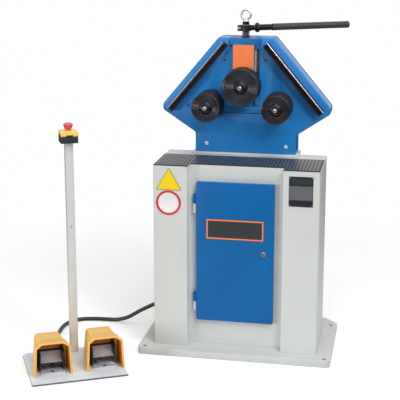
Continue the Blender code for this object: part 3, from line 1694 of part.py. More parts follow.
front_sizes = (
    GUARD_HALF_WIDTH,
    GUARD_SHOULDER_HALF_WIDTH,
    GUARD_TOP_HALF_WIDTH,
    GUARD_SHOULDER_HEIGHT,
    GUARD_HEIGHT,
)
rear_sizes = (
    GUARD_REAR_HALF_WIDTH,
    (GUARD_REAR_HALF_WIDTH + GUARD_REAR_TOP_HALF_WIDTH) / 2,
    GUARD_REAR_TOP_HALF_WIDTH,
    GUARD_REAR_HEIGHT - (GUARD_HEIGHT - GUARD_SHOULDER_HEIGHT),
    GUARD_REAR_HEIGHT,
)
for side, across in GUARD_PLACES:
    taper, rear_taper = GUARD_TAPER_SHARE, GUARD_REAR_TAPER_SHARE
    name = f"pedal_guard_{side}"
    guard = hood(name, front_sizes, GUARD_FRONT, GUARD_SHOULDER_AT, taper, 0.0, YELLOW_PLASTIC, across)
    joined = GUARD_SHOULDER_AT - GUARD_WALL
    weld(guard, hood(name + "_rear", rear_sizes, joined, GUARD_BACK, rear_taper, 0.0, YELLOW_PLASTIC, across))
    cut(
        guard,
        hood(
            name + "_mouth",
            front_sizes,
            GUARD_FRONT - OVERRUN,
            GUARD_SHOULDER_AT - GUARD_WALL,
            taper,
            GUARD_WALL,
            YELLOW_PLASTIC,
            across,
        ),
    )
    cut(
        guard,
        hood(
            name + "_rear_hollow",
            rear_sizes,
            joined - OVERRUN,
            GUARD_BACK - GUARD_WALL,
            rear_taper,
            GUARD_WALL,
            YELLOW_PLASTIC,
            across,
        ),
    )

    floor_top = guard_low + PEDAL_FLOOR
    pedal_back = GUARD_BACK - GUARD_WALL - GAP
    pedal_half = PEDAL_HALF_WIDTH
    base = block(
        f"pedal_base_{side}",
        (across - pedal_half, PEDAL_FRONT, guard_low),
        (across + pedal_half, pedal_back, floor_top),
        GREY_PAINT,
        parent=stand,
    )
    for sign in (-1, 1):
        edges = sorted((across + sign * pedal_half, across + sign * (pedal_half - CHEEK_THICKNESS)))
        weld(
            base,
            block(
                f"cheek_{side}_{'a' if sign < 0 else 'b'}",
                (edges[0], CHEEK_FRONT, floor_top - OVERRUN),
                (edges[1], HOUSING_FRONT + OVERRUN, CHEEK_HEIGHT),
                BLACK_PLASTIC,
                parent=stand,
            ),
        )
    weld(
        base,
        block(
            f"switch_housing_{side}",
            (across - pedal_half + GAP, HOUSING_FRONT, floor_top - OVERRUN),
            (across + pedal_half - GAP, pedal_back - OVERRUN, HOUSING_HEIGHT),
            BLACK_PLASTIC,
            parent=stand,
        ),
    )
    cut(
        base,
        rod(
            f"floor_hole_{side}",
            FLOOR_HOLE_RADIUS,
            (across, FLOOR_HOLE_BACK, guard_low - OVERRUN),
            PEDAL_FLOOR + 2 * OVERRUN,
            "Z",
            GREY_PAINT,
            FINE_STEPS,
            parent=stand,
        ),
    )
    cut(
        base,
        rod(
            f"pivot_hole_{side}",
            PIVOT_RADIUS + RUNNING_GAP,
            (across - pedal_half - OVERRUN, PIVOT_BACK, PIVOT_HEIGHT),
            2 * pedal_half + 2 * OVERRUN,
            "X",
            BLACK_PLASTIC,
            FINE_STEPS,
            parent=stand,
        ),
    )

    axis = empty(f"treadle_axis_{side}", (across, PIVOT_BACK, PIVOT_HEIGHT), (TREADLE_SLOPE, 0.0, 0.0), stand)
    treadle_half = pedal_half - CHEEK_THICKNESS - TREADLE_SIDE_GAP
    treadle = block(
        f"treadle_{side}",
        (-treadle_half, -TREADLE_LENGTH, -TREADLE_THICKNESS / 2),
        (treadle_half, 0.0, TREADLE_THICKNESS / 2),
        WARM_GREY,
        (0.0, 0.0, 0.0),
        parent=axis,
    )
    weld(
        treadle,
        block(
            f"treadle_lip_{side}",
            (-treadle_half, -TREADLE_LENGTH, -TREADLE_LIP),
            (treadle_half, TREADLE_THICKNESS - TREADLE_LENGTH, 0.0),
            WARM_GREY,
            parent=axis,
        ),
    )
    cut(
        treadle,
        rod(
            f"treadle_notch_{side}",
            NOTCH_RADIUS,
            (0.0, -TREADLE_LENGTH, -TREADLE_LIP - OVERRUN),
            TREADLE_LIP + TREADLE_THICKNESS + OVERRUN,
            "Z",
            WARM_GREY,
            FINE_STEPS,
            parent=axis,
        ),
    )
    weld(
        treadle,
        rod(
            f"treadle_pin_{side}",
            PIVOT_RADIUS,
            (-pedal_half + GAP, 0.0, 0.0),
            2 * (pedal_half - GAP),
            "X",
            WARM_GREY,
            FINE_STEPS,
            parent=axis,
        ),
    )

# Gland at the left pedal's back, for the control cable
PEDAL_GLAND_HEIGHT = 0.036
turned(
    "pedal_gland",
    [(radius, height) for radius, height in gland_profile(0.0)[:-2]] + [(0.0, 0.0)],
    BLACK_PLASTIC,
    (GUARD_PLACES[0][1], GUARD_BACK + GAP, PEDAL_GLAND_HEIGHT),
    (-math.pi / 2, 0.0, 0.0),
    BAR_STEPS,
    parent=stand,
)

# Control cable: down from the pedal's gland, along the floor behind the stand, and up to the cabinet's gland
CABLE_ROUTE = (
    (-0.7960, -0.1420, 0.0335),
    (-0.8080, -0.0950, 0.0190),
    (-0.8130, -0.0400, 0.0105),
    (-0.8110, 0.0300, 0.0093),
    (-0.8140, 0.1000, 0.0093),
    (-0.8170, 0.1600, 0.0093),
    (-0.8040, 0.2200, 0.0093),
    (-0.7650, 0.2640, 0.0093),
    (-0.7020, 0.2820, 0.0093),
    (-0.6450, 0.2870, 0.0093),
    (-0.5950, 0.2830, 0.0130),
    (-0.5400, 0.2690, 0.0340),
    (-0.4770, 0.2510, 0.0770),
    (-0.4250, 0.2380, 0.1090),
)
CABLE_STEP = 0.026
gland_end = Vector((GUARD_PLACES[0][1], GUARD_BACK + 2 * GAP + gland_out, PEDAL_GLAND_HEIGHT))
cable_start = stand.matrix_world @ gland_end
cable_lead = stand.matrix_world.to_3x3() @ Vector((0.0, 1.0, 0.0))
cable_end = Vector((-half - 2 * GAP - gland_out, CONTROL_GLAND_BACK, CONTROL_GLAND_HEIGHT))


def smooth_route(points, step):
    """Evenly spaced points on a smooth curve through the given ones."""
    out = [points[1]]
    for a, b, c, d in zip(points, points[1:], points[2:], points[3:]):
        parts = max(1, round((c - b).length / step))
        for n in range(1, parts + 1):
            t = n / parts
            bend = (2 * a - 5 * b + 4 * c - d) * t**2 + (3 * b - a - 3 * c + d) * t**3
            out.append(b + ((c - a) * t + bend) / 2)
    return out


straight = 2 * CABLE_RADIUS
route = [cable_start, cable_start + cable_lead * straight]
route += [Vector(point) for point in CABLE_ROUTE]
route += [cable_end - Vector((straight, 0.0, 0.0)), cable_end]
route = [2 * route[0] - route[1], *route, 2 * route[-1] - route[-2]]
cable = bpy.data.curves.new("control_cable", "CURVE")
cable.dimensions = "3D"
cable.bevel_depth = CABLE_RADIUS
cable.bevel_resolution = 2
cable.use_fill_caps = True
line = cable.splines.new("POLY")
path = smooth_route(route, CABLE_STEP)
line.points.add(len(path) - 1)
for point, where in zip(line.points, path):
    point.co = (*where, 1.0)
place(bpy.data.objects.new("control_cable", cable), BLACK_PLASTIC, (0.0, 0.0, 0.0))
print("control cable length", round(sum((b - a).length for a, b in zip(path, path[1:])), 3))
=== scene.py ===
import math

import bmesh
import bpy
from mathutils import Matrix, Vector


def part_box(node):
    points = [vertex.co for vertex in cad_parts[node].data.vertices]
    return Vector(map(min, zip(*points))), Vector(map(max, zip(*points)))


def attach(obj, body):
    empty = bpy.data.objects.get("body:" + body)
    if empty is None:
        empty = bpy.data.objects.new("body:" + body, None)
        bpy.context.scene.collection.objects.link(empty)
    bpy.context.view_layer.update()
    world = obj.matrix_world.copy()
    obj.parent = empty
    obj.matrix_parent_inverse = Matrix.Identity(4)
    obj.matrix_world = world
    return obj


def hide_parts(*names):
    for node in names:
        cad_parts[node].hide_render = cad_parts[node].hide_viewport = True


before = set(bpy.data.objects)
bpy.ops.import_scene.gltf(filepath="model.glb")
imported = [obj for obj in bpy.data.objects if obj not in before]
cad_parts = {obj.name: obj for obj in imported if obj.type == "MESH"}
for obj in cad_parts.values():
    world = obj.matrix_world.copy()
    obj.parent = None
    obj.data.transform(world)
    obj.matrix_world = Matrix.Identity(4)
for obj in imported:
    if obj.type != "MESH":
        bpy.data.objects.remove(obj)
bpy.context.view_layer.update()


# The camera stands in front of the machine, a little to its right and above its top, and sees the
# whole machine with its pedal stand in a square picture.
def shown(name, data):
    """Makes an object and puts it in the scene."""
    obj = bpy.data.objects.new(name, data)
    bpy.context.scene.collection.objects.link(obj)
    return obj


LOOKS_DOWN, LOOKS_LEFT = 0.22158, 0.19207
camera_data = bpy.data.cameras.new("camera")
camera_data.sensor_width = 36
camera_data.lens = 96.24
camera_data.shift_y = -0.10
camera = shown("camera", camera_data)
camera.location = (0.67539, -4.23845, 1.82617)
camera.rotation_euler = (math.pi / 2 - LOOKS_DOWN, 0, LOOKS_LEFT)
bpy.context.scene.camera = camera
bpy.context.scene.view_settings.view_transform = "Standard"


# Control cable: round black sheathed cable, 18 mm thick, from the left pedal's gland along the floor
# behind the stand and up to the gland in the cabinet's left wall.
def linear(colour):
    """A colour written in the usual 0 to 255 steps, as the linear values that a material takes."""
    return [(c / 255 / 12.92) if c <= 10 else ((c / 255 + 0.055) / 1.055) ** 2.4 for c in colour]


def fed(tree, node, inputs):
    """Sets a node's inputs, each to a value or to another node's output."""
    for socket, value in inputs.items():
        if isinstance(value, bpy.types.NodeSocket):
            tree.links.new(value, node.inputs[socket])
        else:
            node.inputs[socket].default_value = value
    return node


def added(tree, kind, inputs):
    """Adds a node to a material, with its inputs set."""
    return fed(tree, tree.nodes.new(kind), inputs)


COAT_ROUGHNESS, GLOSS_SPREAD, GRAIN_HEIGHT = 0.15, 0.12, 0.001
TINT_FROM, TINT_TO = 0.3, 0.7


def finish(
    name, colour, roughness, metallic=0.0, mottle=0.05, patch=18, grain=0.04, fine=900, coat=0.0, shine=0.5,
):
    """A surface whose colour and gloss vary in soft patches, with a fine grain in its relief."""
    made = bpy.data.materials.new(name)
    made.use_nodes = True
    tree = made.node_tree
    where = tree.nodes.new("ShaderNodeTexCoord").outputs["Object"]

    def noise(scale, detail):
        inputs = {"Vector": where, "Scale": scale, "Detail": detail}
        return added(tree, "ShaderNodeTexNoise", inputs).outputs["Fac"]

    patches = noise(patch, 5.0)
    tint = added(tree, "ShaderNodeValToRGB", {"Fac": patches})
    dark, pale = tint.color_ramp.elements
    dark.position, pale.position = TINT_FROM, TINT_TO
    dark.color = (*[c * (1 - mottle) for c in linear(colour)], 1)
    pale.color = (*[min(1, c * (1 + mottle)) for c in linear(colour)], 1)
    smooth, rough = roughness * (1 - GLOSS_SPREAD), min(1, roughness * (1 + GLOSS_SPREAD))
    gloss = added(tree, "ShaderNodeMapRange", {"Value": patches, "To Min": smooth, "To Max": rough})
    grains = {"Strength": grain, "Distance": GRAIN_HEIGHT, "Height": noise(fine, 3.0)}
    relief = added(tree, "ShaderNodeBump", grains)
    fed(tree, tree.nodes["Principled BSDF"], {
        "Base Color": tint.outputs["Color"], "Roughness": gloss.outputs["Result"], "Metallic": metallic,
        "Normal": relief.outputs["Normal"], "Specular IOR Level": shine, "Coat Weight": coat,
        "Coat Roughness": COAT_ROUGHNESS,
    })
    return made


def smooth_route(points, step):
    """Evenly spaced points on a smooth curve through the given ones."""
    out = [points[1]]
    for a, b, c, d in zip(points, points[1:], points[2:], points[3:]):
        parts = max(1, round((c - b).length / step))
        for n in range(1, parts + 1):
            t = n / parts
            bend = (2 * a - 5 * b + 4 * c - d) * t**2 + (3 * b - a - 3 * c + d) * t**3
            out.append(b + ((c - a) * t + bend) / 2)
    return out


STAND_PLACE = Vector((-0.7405, -0.4674, 0.0))
STAND_TURN = math.radians(27)
STAND = Matrix.Translation(STAND_PLACE) @ Matrix.Rotation(STAND_TURN, 4, "Z")
stand_back = STAND.to_3x3() @ Vector((0, 1, 0))
PEDALS_ACROSS = {"left": 0.096, "right": 0.3125}
CABLE_RADIUS, CABLE_LEAD, ROUTE_STEP = 0.009, 0.018, 0.012
cable_start = STAND @ Vector((PEDALS_ACROSS["left"], 0.2856, 0.036))
cable_end = Vector((-0.3906, 0.235, 0.118))
CABLE_ROUTE = (
    (-0.7960, -0.1420, 0.0335), (-0.8080, -0.0950, 0.0190), (-0.8130, -0.0400, 0.0105),
    (-0.8110, 0.0300, 0.0093), (-0.8140, 0.1000, 0.0093), (-0.8170, 0.1600, 0.0093),
    (-0.8040, 0.2200, 0.0093), (-0.7650, 0.2640, 0.0093), (-0.7020, 0.2820, 0.0093),
    (-0.6450, 0.2870, 0.0093), (-0.5950, 0.2830, 0.0130), (-0.5400, 0.2690, 0.0340),
    (-0.4770, 0.2510, 0.0770), (-0.4250, 0.2380, 0.1090),
)
route = [cable_start, cable_start + stand_back * CABLE_LEAD]
route += [Vector(point) for point in CABLE_ROUTE]
route += [cable_end - Vector((CABLE_LEAD, 0.0, 0.0)), cable_end]
route = [2 * route[0] - route[1], *route, 2 * route[-1] - route[-2]]
cable_path = smooth_route(route, ROUTE_STEP)
cable_curve = bpy.data.curves.new("cable_sheath", "CURVE")
cable_curve.dimensions = "3D"
cable_curve.bevel_depth = CABLE_RADIUS
cable_curve.bevel_resolution = 5
cable_curve.use_fill_caps = True
cable_line = cable_curve.splines.new("POLY")
cable_line.points.add(len(cable_path) - 1)
for point, where in zip(cable_line.points, cable_path):
    point.co = (*where, 1.0)
cable_line.use_smooth = True
cable = shown("cable_sheath", cable_curve)
cable_rubber = finish("cable_rubber", (34, 36, 38), 0.45, mottle=0.15, patch=60, grain=0.10, fine=1500)
cable_curve.materials.append(cable_rubber)
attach(cable, "machine")
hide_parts("control_cable")


# Base plate: thick steel plate under the cabinet, painted light grey, with its edges dressed and a
# black levelling screw let into a hole near each corner.
WELD = 0.00001
TURNS = {
    "X": Matrix.Rotation(math.pi / 2, 4, "Y"),
    "-X": Matrix.Rotation(-math.pi / 2, 4, "Y"),
    "Y": Matrix.Rotation(-math.pi / 2, 4, "X"),
    "-Y": Matrix.Rotation(math.pi / 2, 4, "X"),
    "Z": Matrix.Identity(4),
}


def copied(node):
    """A CAD piece's mesh, merged, with each flat side one face again."""
    bm = bmesh.new()
    bm.from_mesh(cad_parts[node].data)
    bmesh.ops.remove_doubles(bm, verts=bm.verts, dist=WELD)
    bmesh.ops.dissolve_limit(bm, angle_limit=0.01, verts=bm.verts, edges=bm.edges)
    return bm


def sharp(bm, angle=40):
    """The edges that turn by more than an angle, in degrees."""
    limit = math.radians(angle)
    return [e for e in bm.edges if len(e.link_faces) == 2 and e.calc_face_angle() > limit]


def rounded(bm, edges, width, segments, material=-1):
    """Rounds edges by a width; gives back the rounding's vertices."""
    return bmesh.ops.bevel(
        bm, geom=edges, offset=width, segments=segments, profile=0.5, affect="EDGES", material=material,
        clamp_overlap=True,
    )["verts"]


def dressed(bm, width, segments=2, angle=40):
    """Rounds a solid's sharp edges."""
    rounded(bm, sharp(bm, angle), width, segments)
    bmesh.ops.dissolve_degenerate(bm, dist=WELD, edges=bm.edges)
    return bm


def piece(name, bm, materials, nodes=(), body="machine", smooth=35):
    """Makes the piece, rides it on its body and lets it stand for the CAD pieces it replaces."""
    mesh = bpy.data.meshes.new(name)
    bm.to_mesh(mesh)
    bm.free()
    for made in materials if isinstance(materials, list) else [materials]:
        mesh.materials.append(made)
    mesh.shade_smooth()
    mesh.set_sharp_from_angle(angle=math.radians(smooth))
    obj = shown(name, mesh)
    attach(obj, body)
    if nodes:
        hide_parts(*nodes)


def dressed_piece(name, node, material, width, segments=2, angle=40, body="machine"):
    """Makes a piece that is a CAD piece with its sharp edges rounded."""
    piece(name, dressed(copied(node), width, segments, angle), material, [node], body)


def put(bm, verts, centre, axis):
    """Turns what was made round the Z axis to an axis, by its name or a matrix, and moves it there."""
    turn = TURNS[axis] if isinstance(axis, str) else axis
    bmesh.ops.transform(bm, matrix=Matrix.Translation(centre) @ turn, verts=verts)


def joined(verts):
    """Every vertex that edges join to the given ones."""
    seen, queue = set(verts), list(verts)
    while queue:
        for edge in queue.pop().link_edges:
            for v in edge.verts:
                if v not in seen:
                    seen.add(v)
                    queue.append(v)
    return list(seen)


def bar(bm, centre, radius, length, axis="Y", steps=32, tip=None):
    """Adds a round bar from a centre along an axis; tip is its other end's radius."""
    fresh = bmesh.ops.create_cone(
        bm, cap_ends=True, segments=steps, depth=length, radius1=radius,
        radius2=radius if tip is None else tip,
    )["verts"]
    bmesh.ops.translate(bm, vec=(0, 0, length / 2), verts=fresh)
    put(bm, fresh, centre, axis)
    return list({f for v in fresh for f in v.link_faces})


SOCKET_RIM_SHARE, SOCKET_DEPTH_SHARE = 0.48, 0.55


def socket_screw(bm, centre, radius, height, axis="-Y", steps=20, hollow=1, chamfer=0.0):
    """Adds a cap screw's head with a socket sunk in it; gives back its faces but the socket's floor."""
    out = TURNS[axis] @ Vector((0, 0, 1))
    faces = bar(bm, centre, radius, height, axis, steps)
    top = max((f for f in faces if len(f.verts) == steps), key=lambda f: f.calc_center_median().dot(out))
    if chamfer:
        bmesh.ops.inset_region(bm, faces=[top], thickness=chamfer, depth=0)
        bmesh.ops.translate(bm, vec=out * chamfer, verts=top.verts)
    bmesh.ops.inset_region(bm, faces=[top], thickness=radius * SOCKET_RIM_SHARE, depth=0)
    sunk = bmesh.ops.extrude_discrete_faces(bm, faces=[top])["faces"][0]
    bmesh.ops.translate(bm, vec=-out * height * SOCKET_DEPTH_SHARE, verts=sunk.verts)
    sunk.material_index = hollow
    return list({f for v in joined(sunk.verts) for f in v.link_faces} - {sunk})


base_paint = finish("base_grey_paint", (200, 203, 201), 0.45, mottle=0.03, patch=6, grain=0.05, fine=500)
dressed_piece("base_plate_painted", "base_plate", base_paint, 0.0025)
screw_black = finish("screw_black", (26, 27, 29), 0.50, metallic=0.4, mottle=0.10, patch=90, grain=0.08)
socket_dark = finish("socket_shadow", (20, 20, 22), 0.7, mottle=0.1)
LEVELLER_INSET, REAR_LEVELLER_INSET = 0.026, 0.085
base_low, base_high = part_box("base_plate")
bm = bmesh.new()
for across in (base_low.x + LEVELLER_INSET, base_high.x - LEVELLER_INSET):
    for back in (base_low.y + LEVELLER_INSET, base_high.y - REAR_LEVELLER_INSET):
        socket_screw(bm, (across, back, 0.0006), 0.0085, 0.0250, "Z", 24)
piece("levelling_screws", bm, [screw_black, socket_dark])

# Cabinet: folded and welded sheet steel in light grey paint, screwed down on the base plate, with its
# middle set back between the two columns.
grey_paint = finish("light_grey_paint", (210, 213, 210), 0.45, mottle=0.025, patch=6, grain=0.05, fine=500)
dressed_piece("cabinet_painted", "cabinet_shell", grey_paint, 0.0008, 1, 60)


# Rubber mat: black ribbed rubber on the cabinet's top, cut round the set-back middle. The ribs run
# from front to back.
def block(bm, low, high, width=0.0, segments=1, matrix=None):
    """Adds a box between two corners, its edges rounded by a width."""
    low, high = Vector(low), Vector(high)
    fresh = bmesh.ops.create_cube(bm, size=1.0)["verts"]
    bmesh.ops.scale(bm, vec=high - low, verts=fresh)
    bmesh.ops.translate(bm, vec=(low + high) / 2, verts=fresh)
    if matrix is not None:
        bmesh.ops.transform(bm, matrix=matrix, verts=fresh)
    if width:
        fresh = rounded(bm, list({e for v in fresh for e in v.link_edges}), width, segments)
    return list({f for v in fresh for f in v.link_faces})


def face_colour(faces, index):
    """Gives faces one of their piece's materials, by its place in the list."""
    for face in faces:
        face.material_index = index


RIB_PITCH, RIB_HALF_WIDTH, RIB_HEIGHT, RIB_SUNK, RIB_MARGIN = 0.0145, 0.0044, 0.0017, 0.0002, 0.0025
RIBBED_WIDTH = 0.690
RECESS_LEFT, RECESS_RIGHT, RECESS_BACK = -0.204, 0.196, 0.047
mat_rubber = finish("mat_rubber", (34, 36, 38), 0.40, mottle=0.18, patch=25, grain=0.12, fine=1200, shine=0.3)
# The ribs take a lighter grey than the mat between them: painted sheen on the same black rubber.
rib_painted_sheen = finish(
    "rib_painted_sheen", (74, 75, 79), 0.30, mottle=0.14, patch=12, grain=0.12, fine=1200, shine=0.35,
)
mat_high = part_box("rubber_mat")[1]
bm = copied("rubber_mat")
ribs = int(RIBBED_WIDTH / RIB_PITCH)
for k in range(ribs):
    middle = (k - (ribs - 1) / 2) * RIB_PITCH
    left, right = middle - RIB_HALF_WIDTH, middle + RIB_HALF_WIDTH
    front = RIB_MARGIN + (RECESS_BACK if left > RECESS_LEFT and right < RECESS_RIGHT else 0.0)
    rib_low = (left, front, mat_high.z - RIB_SUNK)
    rib_high = (right, mat_high.y - RIB_MARGIN, mat_high.z + RIB_HEIGHT)
    face_colour(block(bm, rib_low, rib_high, 0.0006), 1)
piece("ribbed_mat", bm, [mat_rubber, rib_painted_sheen], ["rubber_mat"])


# Roll head: welded steel box in blue enamel, six-sided above its neck, on a grey foot flange. Two
# bright screws hold the neck, and three small tapped holes are left open in its face.
def enamel(name, colour, roughness, mottle, patch, **others):
    """Sprayed enamel, with the fine relief of orange peel."""
    return finish(name, colour, roughness, mottle=mottle, patch=patch, grain=0.05, fine=420, **others)


def metal(name, colour, roughness, metallic=1.0, mottle=0.05, patch=60, grain=0.05, fine=700):
    """Bare, blackened or plated metal."""
    return finish(name, colour, roughness, metallic, mottle, patch, grain, fine)


HEAD_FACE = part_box("head_housing")[0].y
SLOT_REACH, HEAD_TURN = 0.07, 55
LEDGE_LINE, LEDGE_LINE_HALF, LEDGE_REACH = 1.008, 0.0015, 0.02
NECK_SCREWS = ((-0.170, 0.870), (0.177, 0.866))
TAPPED_HOLES = ((-0.093, 1.238), (0.085, 1.240), (-0.253, 1.034))
head_blue = enamel("head_blue_enamel", (28, 127, 202), 0.42, mottle=0.07, patch=5, coat=0.25, shine=0.4)
dark_blue = enamel("dark_blue_enamel", (14, 48, 88), 0.45, mottle=0.06, patch=7)
head_edge_highlight = enamel("head_edge_painted_highlight", (84, 160, 216), 0.40, mottle=0.20, patch=40, shine=0.3)
bm = copied("head_housing")
outline = [
    e for e in sharp(bm, HEAD_TURN)
    if all(abs(v.co.y - HEAD_FACE) < 0.0005 and abs(v.co.x) > SLOT_REACH for v in e.verts)
]
# The face's outline rounding takes a lighter blue: a painted highlight along the edge.
rounded(bm, outline, 0.0022, 2, 2)
dressed(bm, 0.0010, 1, HEAD_TURN)
# The faces of the ledge groove take the dark blue enamel: painted shade in the groove.
for face in bm.faces:
    middle = face.calc_center_median()
    on_ledge = abs(middle.z - LEDGE_LINE) < LEDGE_LINE_HALF
    if on_ledge and HEAD_FACE < middle.y < HEAD_FACE + LEDGE_REACH:
        face.material_index = 1
piece("head_enamelled", bm, [head_blue, dark_blue, head_edge_highlight], ["head_housing"])
dressed_piece("head_rear_enamelled", "head_rear_plate", dark_blue, 0.0012, 1, HEAD_TURN)
dressed_piece("foot_flange", "head_foot", grey_paint, 0.0015)
bright_steel = metal("bright_steel", (190, 192, 196), 0.28, mottle=0.06, patch=50)
neck_zinc = metal("neck_zinc", (244, 245, 247), 0.34, metallic=0.2, mottle=0.04)
bm = bmesh.new()
for across, height in NECK_SCREWS:
    bar(bm, (across, HEAD_FACE + 0.0002, height), 0.0082, 0.0018, "-Y", 28, tip=0.0076)
    socket_screw(bm, (across, HEAD_FACE - 0.0014, height), 0.0058, 0.0070, chamfer=0.0008)
piece("neck_screws", bm, [neck_zinc, socket_dark])
# The tapped holes are flat dark discs on the face: painted shade.
bm = bmesh.new()
for across, height in TAPPED_HOLES:
    bar(bm, (across, HEAD_FACE + 0.0006, height), 0.0048, 0.0010, "-Y", 20)
piece("tapped_holes", bm, socket_dark)

# Guide rails: blackened steel bars with a slot along their front, screwed to the head's face along
# its sloping sides. Their outer front corner is worn bright and carries a painted highlight, and the
# left one's front lip beside it is lighter: painted sheen.
black_steel = metal(
    "blackened_steel", (32, 31, 34), 0.36, metallic=0.6, mottle=0.20, patch=30, grain=0.08, fine=800,
)
worn_steel_and_painted_highlight = metal("worn_steel_and_painted_highlight", (196, 188, 196), 0.36, mottle=0.20, patch=90, grain=0.06)
painted_sheen_steel = metal("painted_sheen_steel", (84, 74, 78), 0.34, metallic=0.7, mottle=0.25, grain=0.08)
rail_edge_wear_and_highlight = metal("rail_edge_wear_and_painted_highlight", (200, 190, 196), 0.38, metallic=0.9, mottle=0.30, patch=70, grain=0.06)
for side in ("left", "right"):
    node = f"guide_rail_{side}"
    bm = copied(node)
    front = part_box(node)[0].y + 0.001
    long_edges = [e for e in sharp(bm) if all(v.co.y < front for v in e.verts) and e.calc_length() > 0.1]
    outer = max(long_edges, key=lambda e: abs(e.verts[0].co.x + e.verts[1].co.x))
    # The left rail's outer front lip takes a lighter steel: painted sheen.
    if side == "left":
        max(outer.link_faces, key=lambda f: abs(f.normal.y)).material_index = 2
    # The rounded outer corner takes the light edge steel: wear and a painted highlight.
    rounded(bm, [outer], 0.0025, 2, 1)
    piece(f"rail_{side}", bm, [black_steel, rail_edge_wear_and_highlight, painted_sheen_steel], [node])


# Rolls: turned steel discs, blackened, each with a rim, shallow rings on its front face, and a cap
# held by a cap screw on the shaft's end.
def spun(bm, profile, centre, axis="Y", steps=64, closed=False):
    """Turns a profile of (radius, distance along the axis) points once round the axis."""
    points = [bm.verts.new((radius, 0.0, along)) for radius, along in profile]
    edges = [bm.edges.new(pair) for pair in zip(points, points[1:])]
    if closed:
        edges.append(bm.edges.new((points[-1], points[0])))
    bmesh.ops.spin(
        bm, geom=points + edges, cent=(0, 0, 0), axis=(0, 0, 1), dvec=(0, 0, 0), angle=math.tau,
        steps=steps, use_merge=True, use_normal_flip=False, use_duplicate=False,
    )
    verts = joined(points)
    put(bm, verts, centre, axis)
    bmesh.ops.remove_doubles(bm, verts=verts, dist=WELD / 2)
    faces = list({f for v in verts if v.is_valid for f in v.link_faces})
    bmesh.ops.recalc_face_normals(bm, faces=faces)
    return faces


TOOL_PITCH = 0.0004
NUMBER, VECTOR = "ShaderNodeMath", "ShaderNodeVectorMath"


def worked(tree, kind, operation, *inputs):
    """Adds a math node to a material and gives back its result."""
    made = added(tree, kind, dict(enumerate(inputs)))
    made.operation = operation
    return made.outputs["Value" if kind == NUMBER or operation == "LENGTH" else "Vector"]


def turned_finish(name, colour, roughness, centre, flank):
    """Turned metal: fine tool marks in rings round an axis that runs from front to back, whose flanks
    lean outwards and inwards, so that light from the sides shows as a bright sector."""
    made = finish(name, colour, roughness, metallic=0.9, mottle=0.12, patch=26)
    tree = made.node_tree
    where = tree.nodes["Texture Coordinate"].outputs["Object"]
    shift = added(tree, "ShaderNodeMapping", {"Vector": where, "Location": [-c for c in centre]})
    flat = worked(tree, VECTOR, "MULTIPLY", shift.outputs["Vector"], (1, 0, 1))
    turns = worked(tree, NUMBER, "MULTIPLY", worked(tree, VECTOR, "LENGTH", flat), math.tau / TOOL_PITCH)
    lean = worked(tree, NUMBER, "MULTIPLY", worked(tree, NUMBER, "SINE", turns), flank)
    outward = added(tree, "ShaderNodeVectorTransform", {"Vector": worked(tree, VECTOR, "NORMALIZE", flat)})
    outward.vector_type = "VECTOR"
    outward.convert_from, outward.convert_to = "OBJECT", "WORLD"
    leaning = worked(tree, VECTOR, "MULTIPLY", outward.outputs["Vector"], lean)
    tilted = worked(tree, VECTOR, "ADD", leaning, tree.nodes["Bump"].outputs["Normal"])
    fed(tree, tree.nodes["Principled BSDF"], {"Normal": worked(tree, VECTOR, "NORMALIZE", tilted)})
    return made


LOWER_BANDS = (0.030, 0.010, 0.034, 0.010, 0.036)
TOP_BANDS = (0.045, 0.010, 0.024)
ROLLS = (
    ("left", "left_roll_set", LOWER_BANDS, 0.36),
    ("right", "right_roll_set", LOWER_BANDS, 0.29),
    ("top", "top_roll_set", TOP_BANDS, 0.36),
)
SHAFT_BORE = 0.0203
FACE_SUNK, SUNK_SHARE, STEP_SHARE = 0.0020, 0.60, 0.62
RINGS = (0.70, 0.78, 0.86)
RING_HALF, RING_FLOOR_HALF, RING_DEPTH = 0.0015, 0.0006, 0.0013
RIM = 0.0024
RIM_ARC = ((1.0, 0.0), (0.60, 0.08), (0.29, 0.29), (0.08, 0.60), (0.0, 1.0))
WAIST_SHARE, WAIST_STEP = 0.84, 0.0015
CAP_SCREW_FOOT = 0.0098
roll_side_shade = metal(
    "roll_side_painted_shade", (22, 21, 23), 0.55, metallic=0.3, mottle=0.15, patch=30, grain=0.06, fine=800,
)
zinc = metal("zinc_plate", (236, 238, 240), 0.26, metallic=0.85)
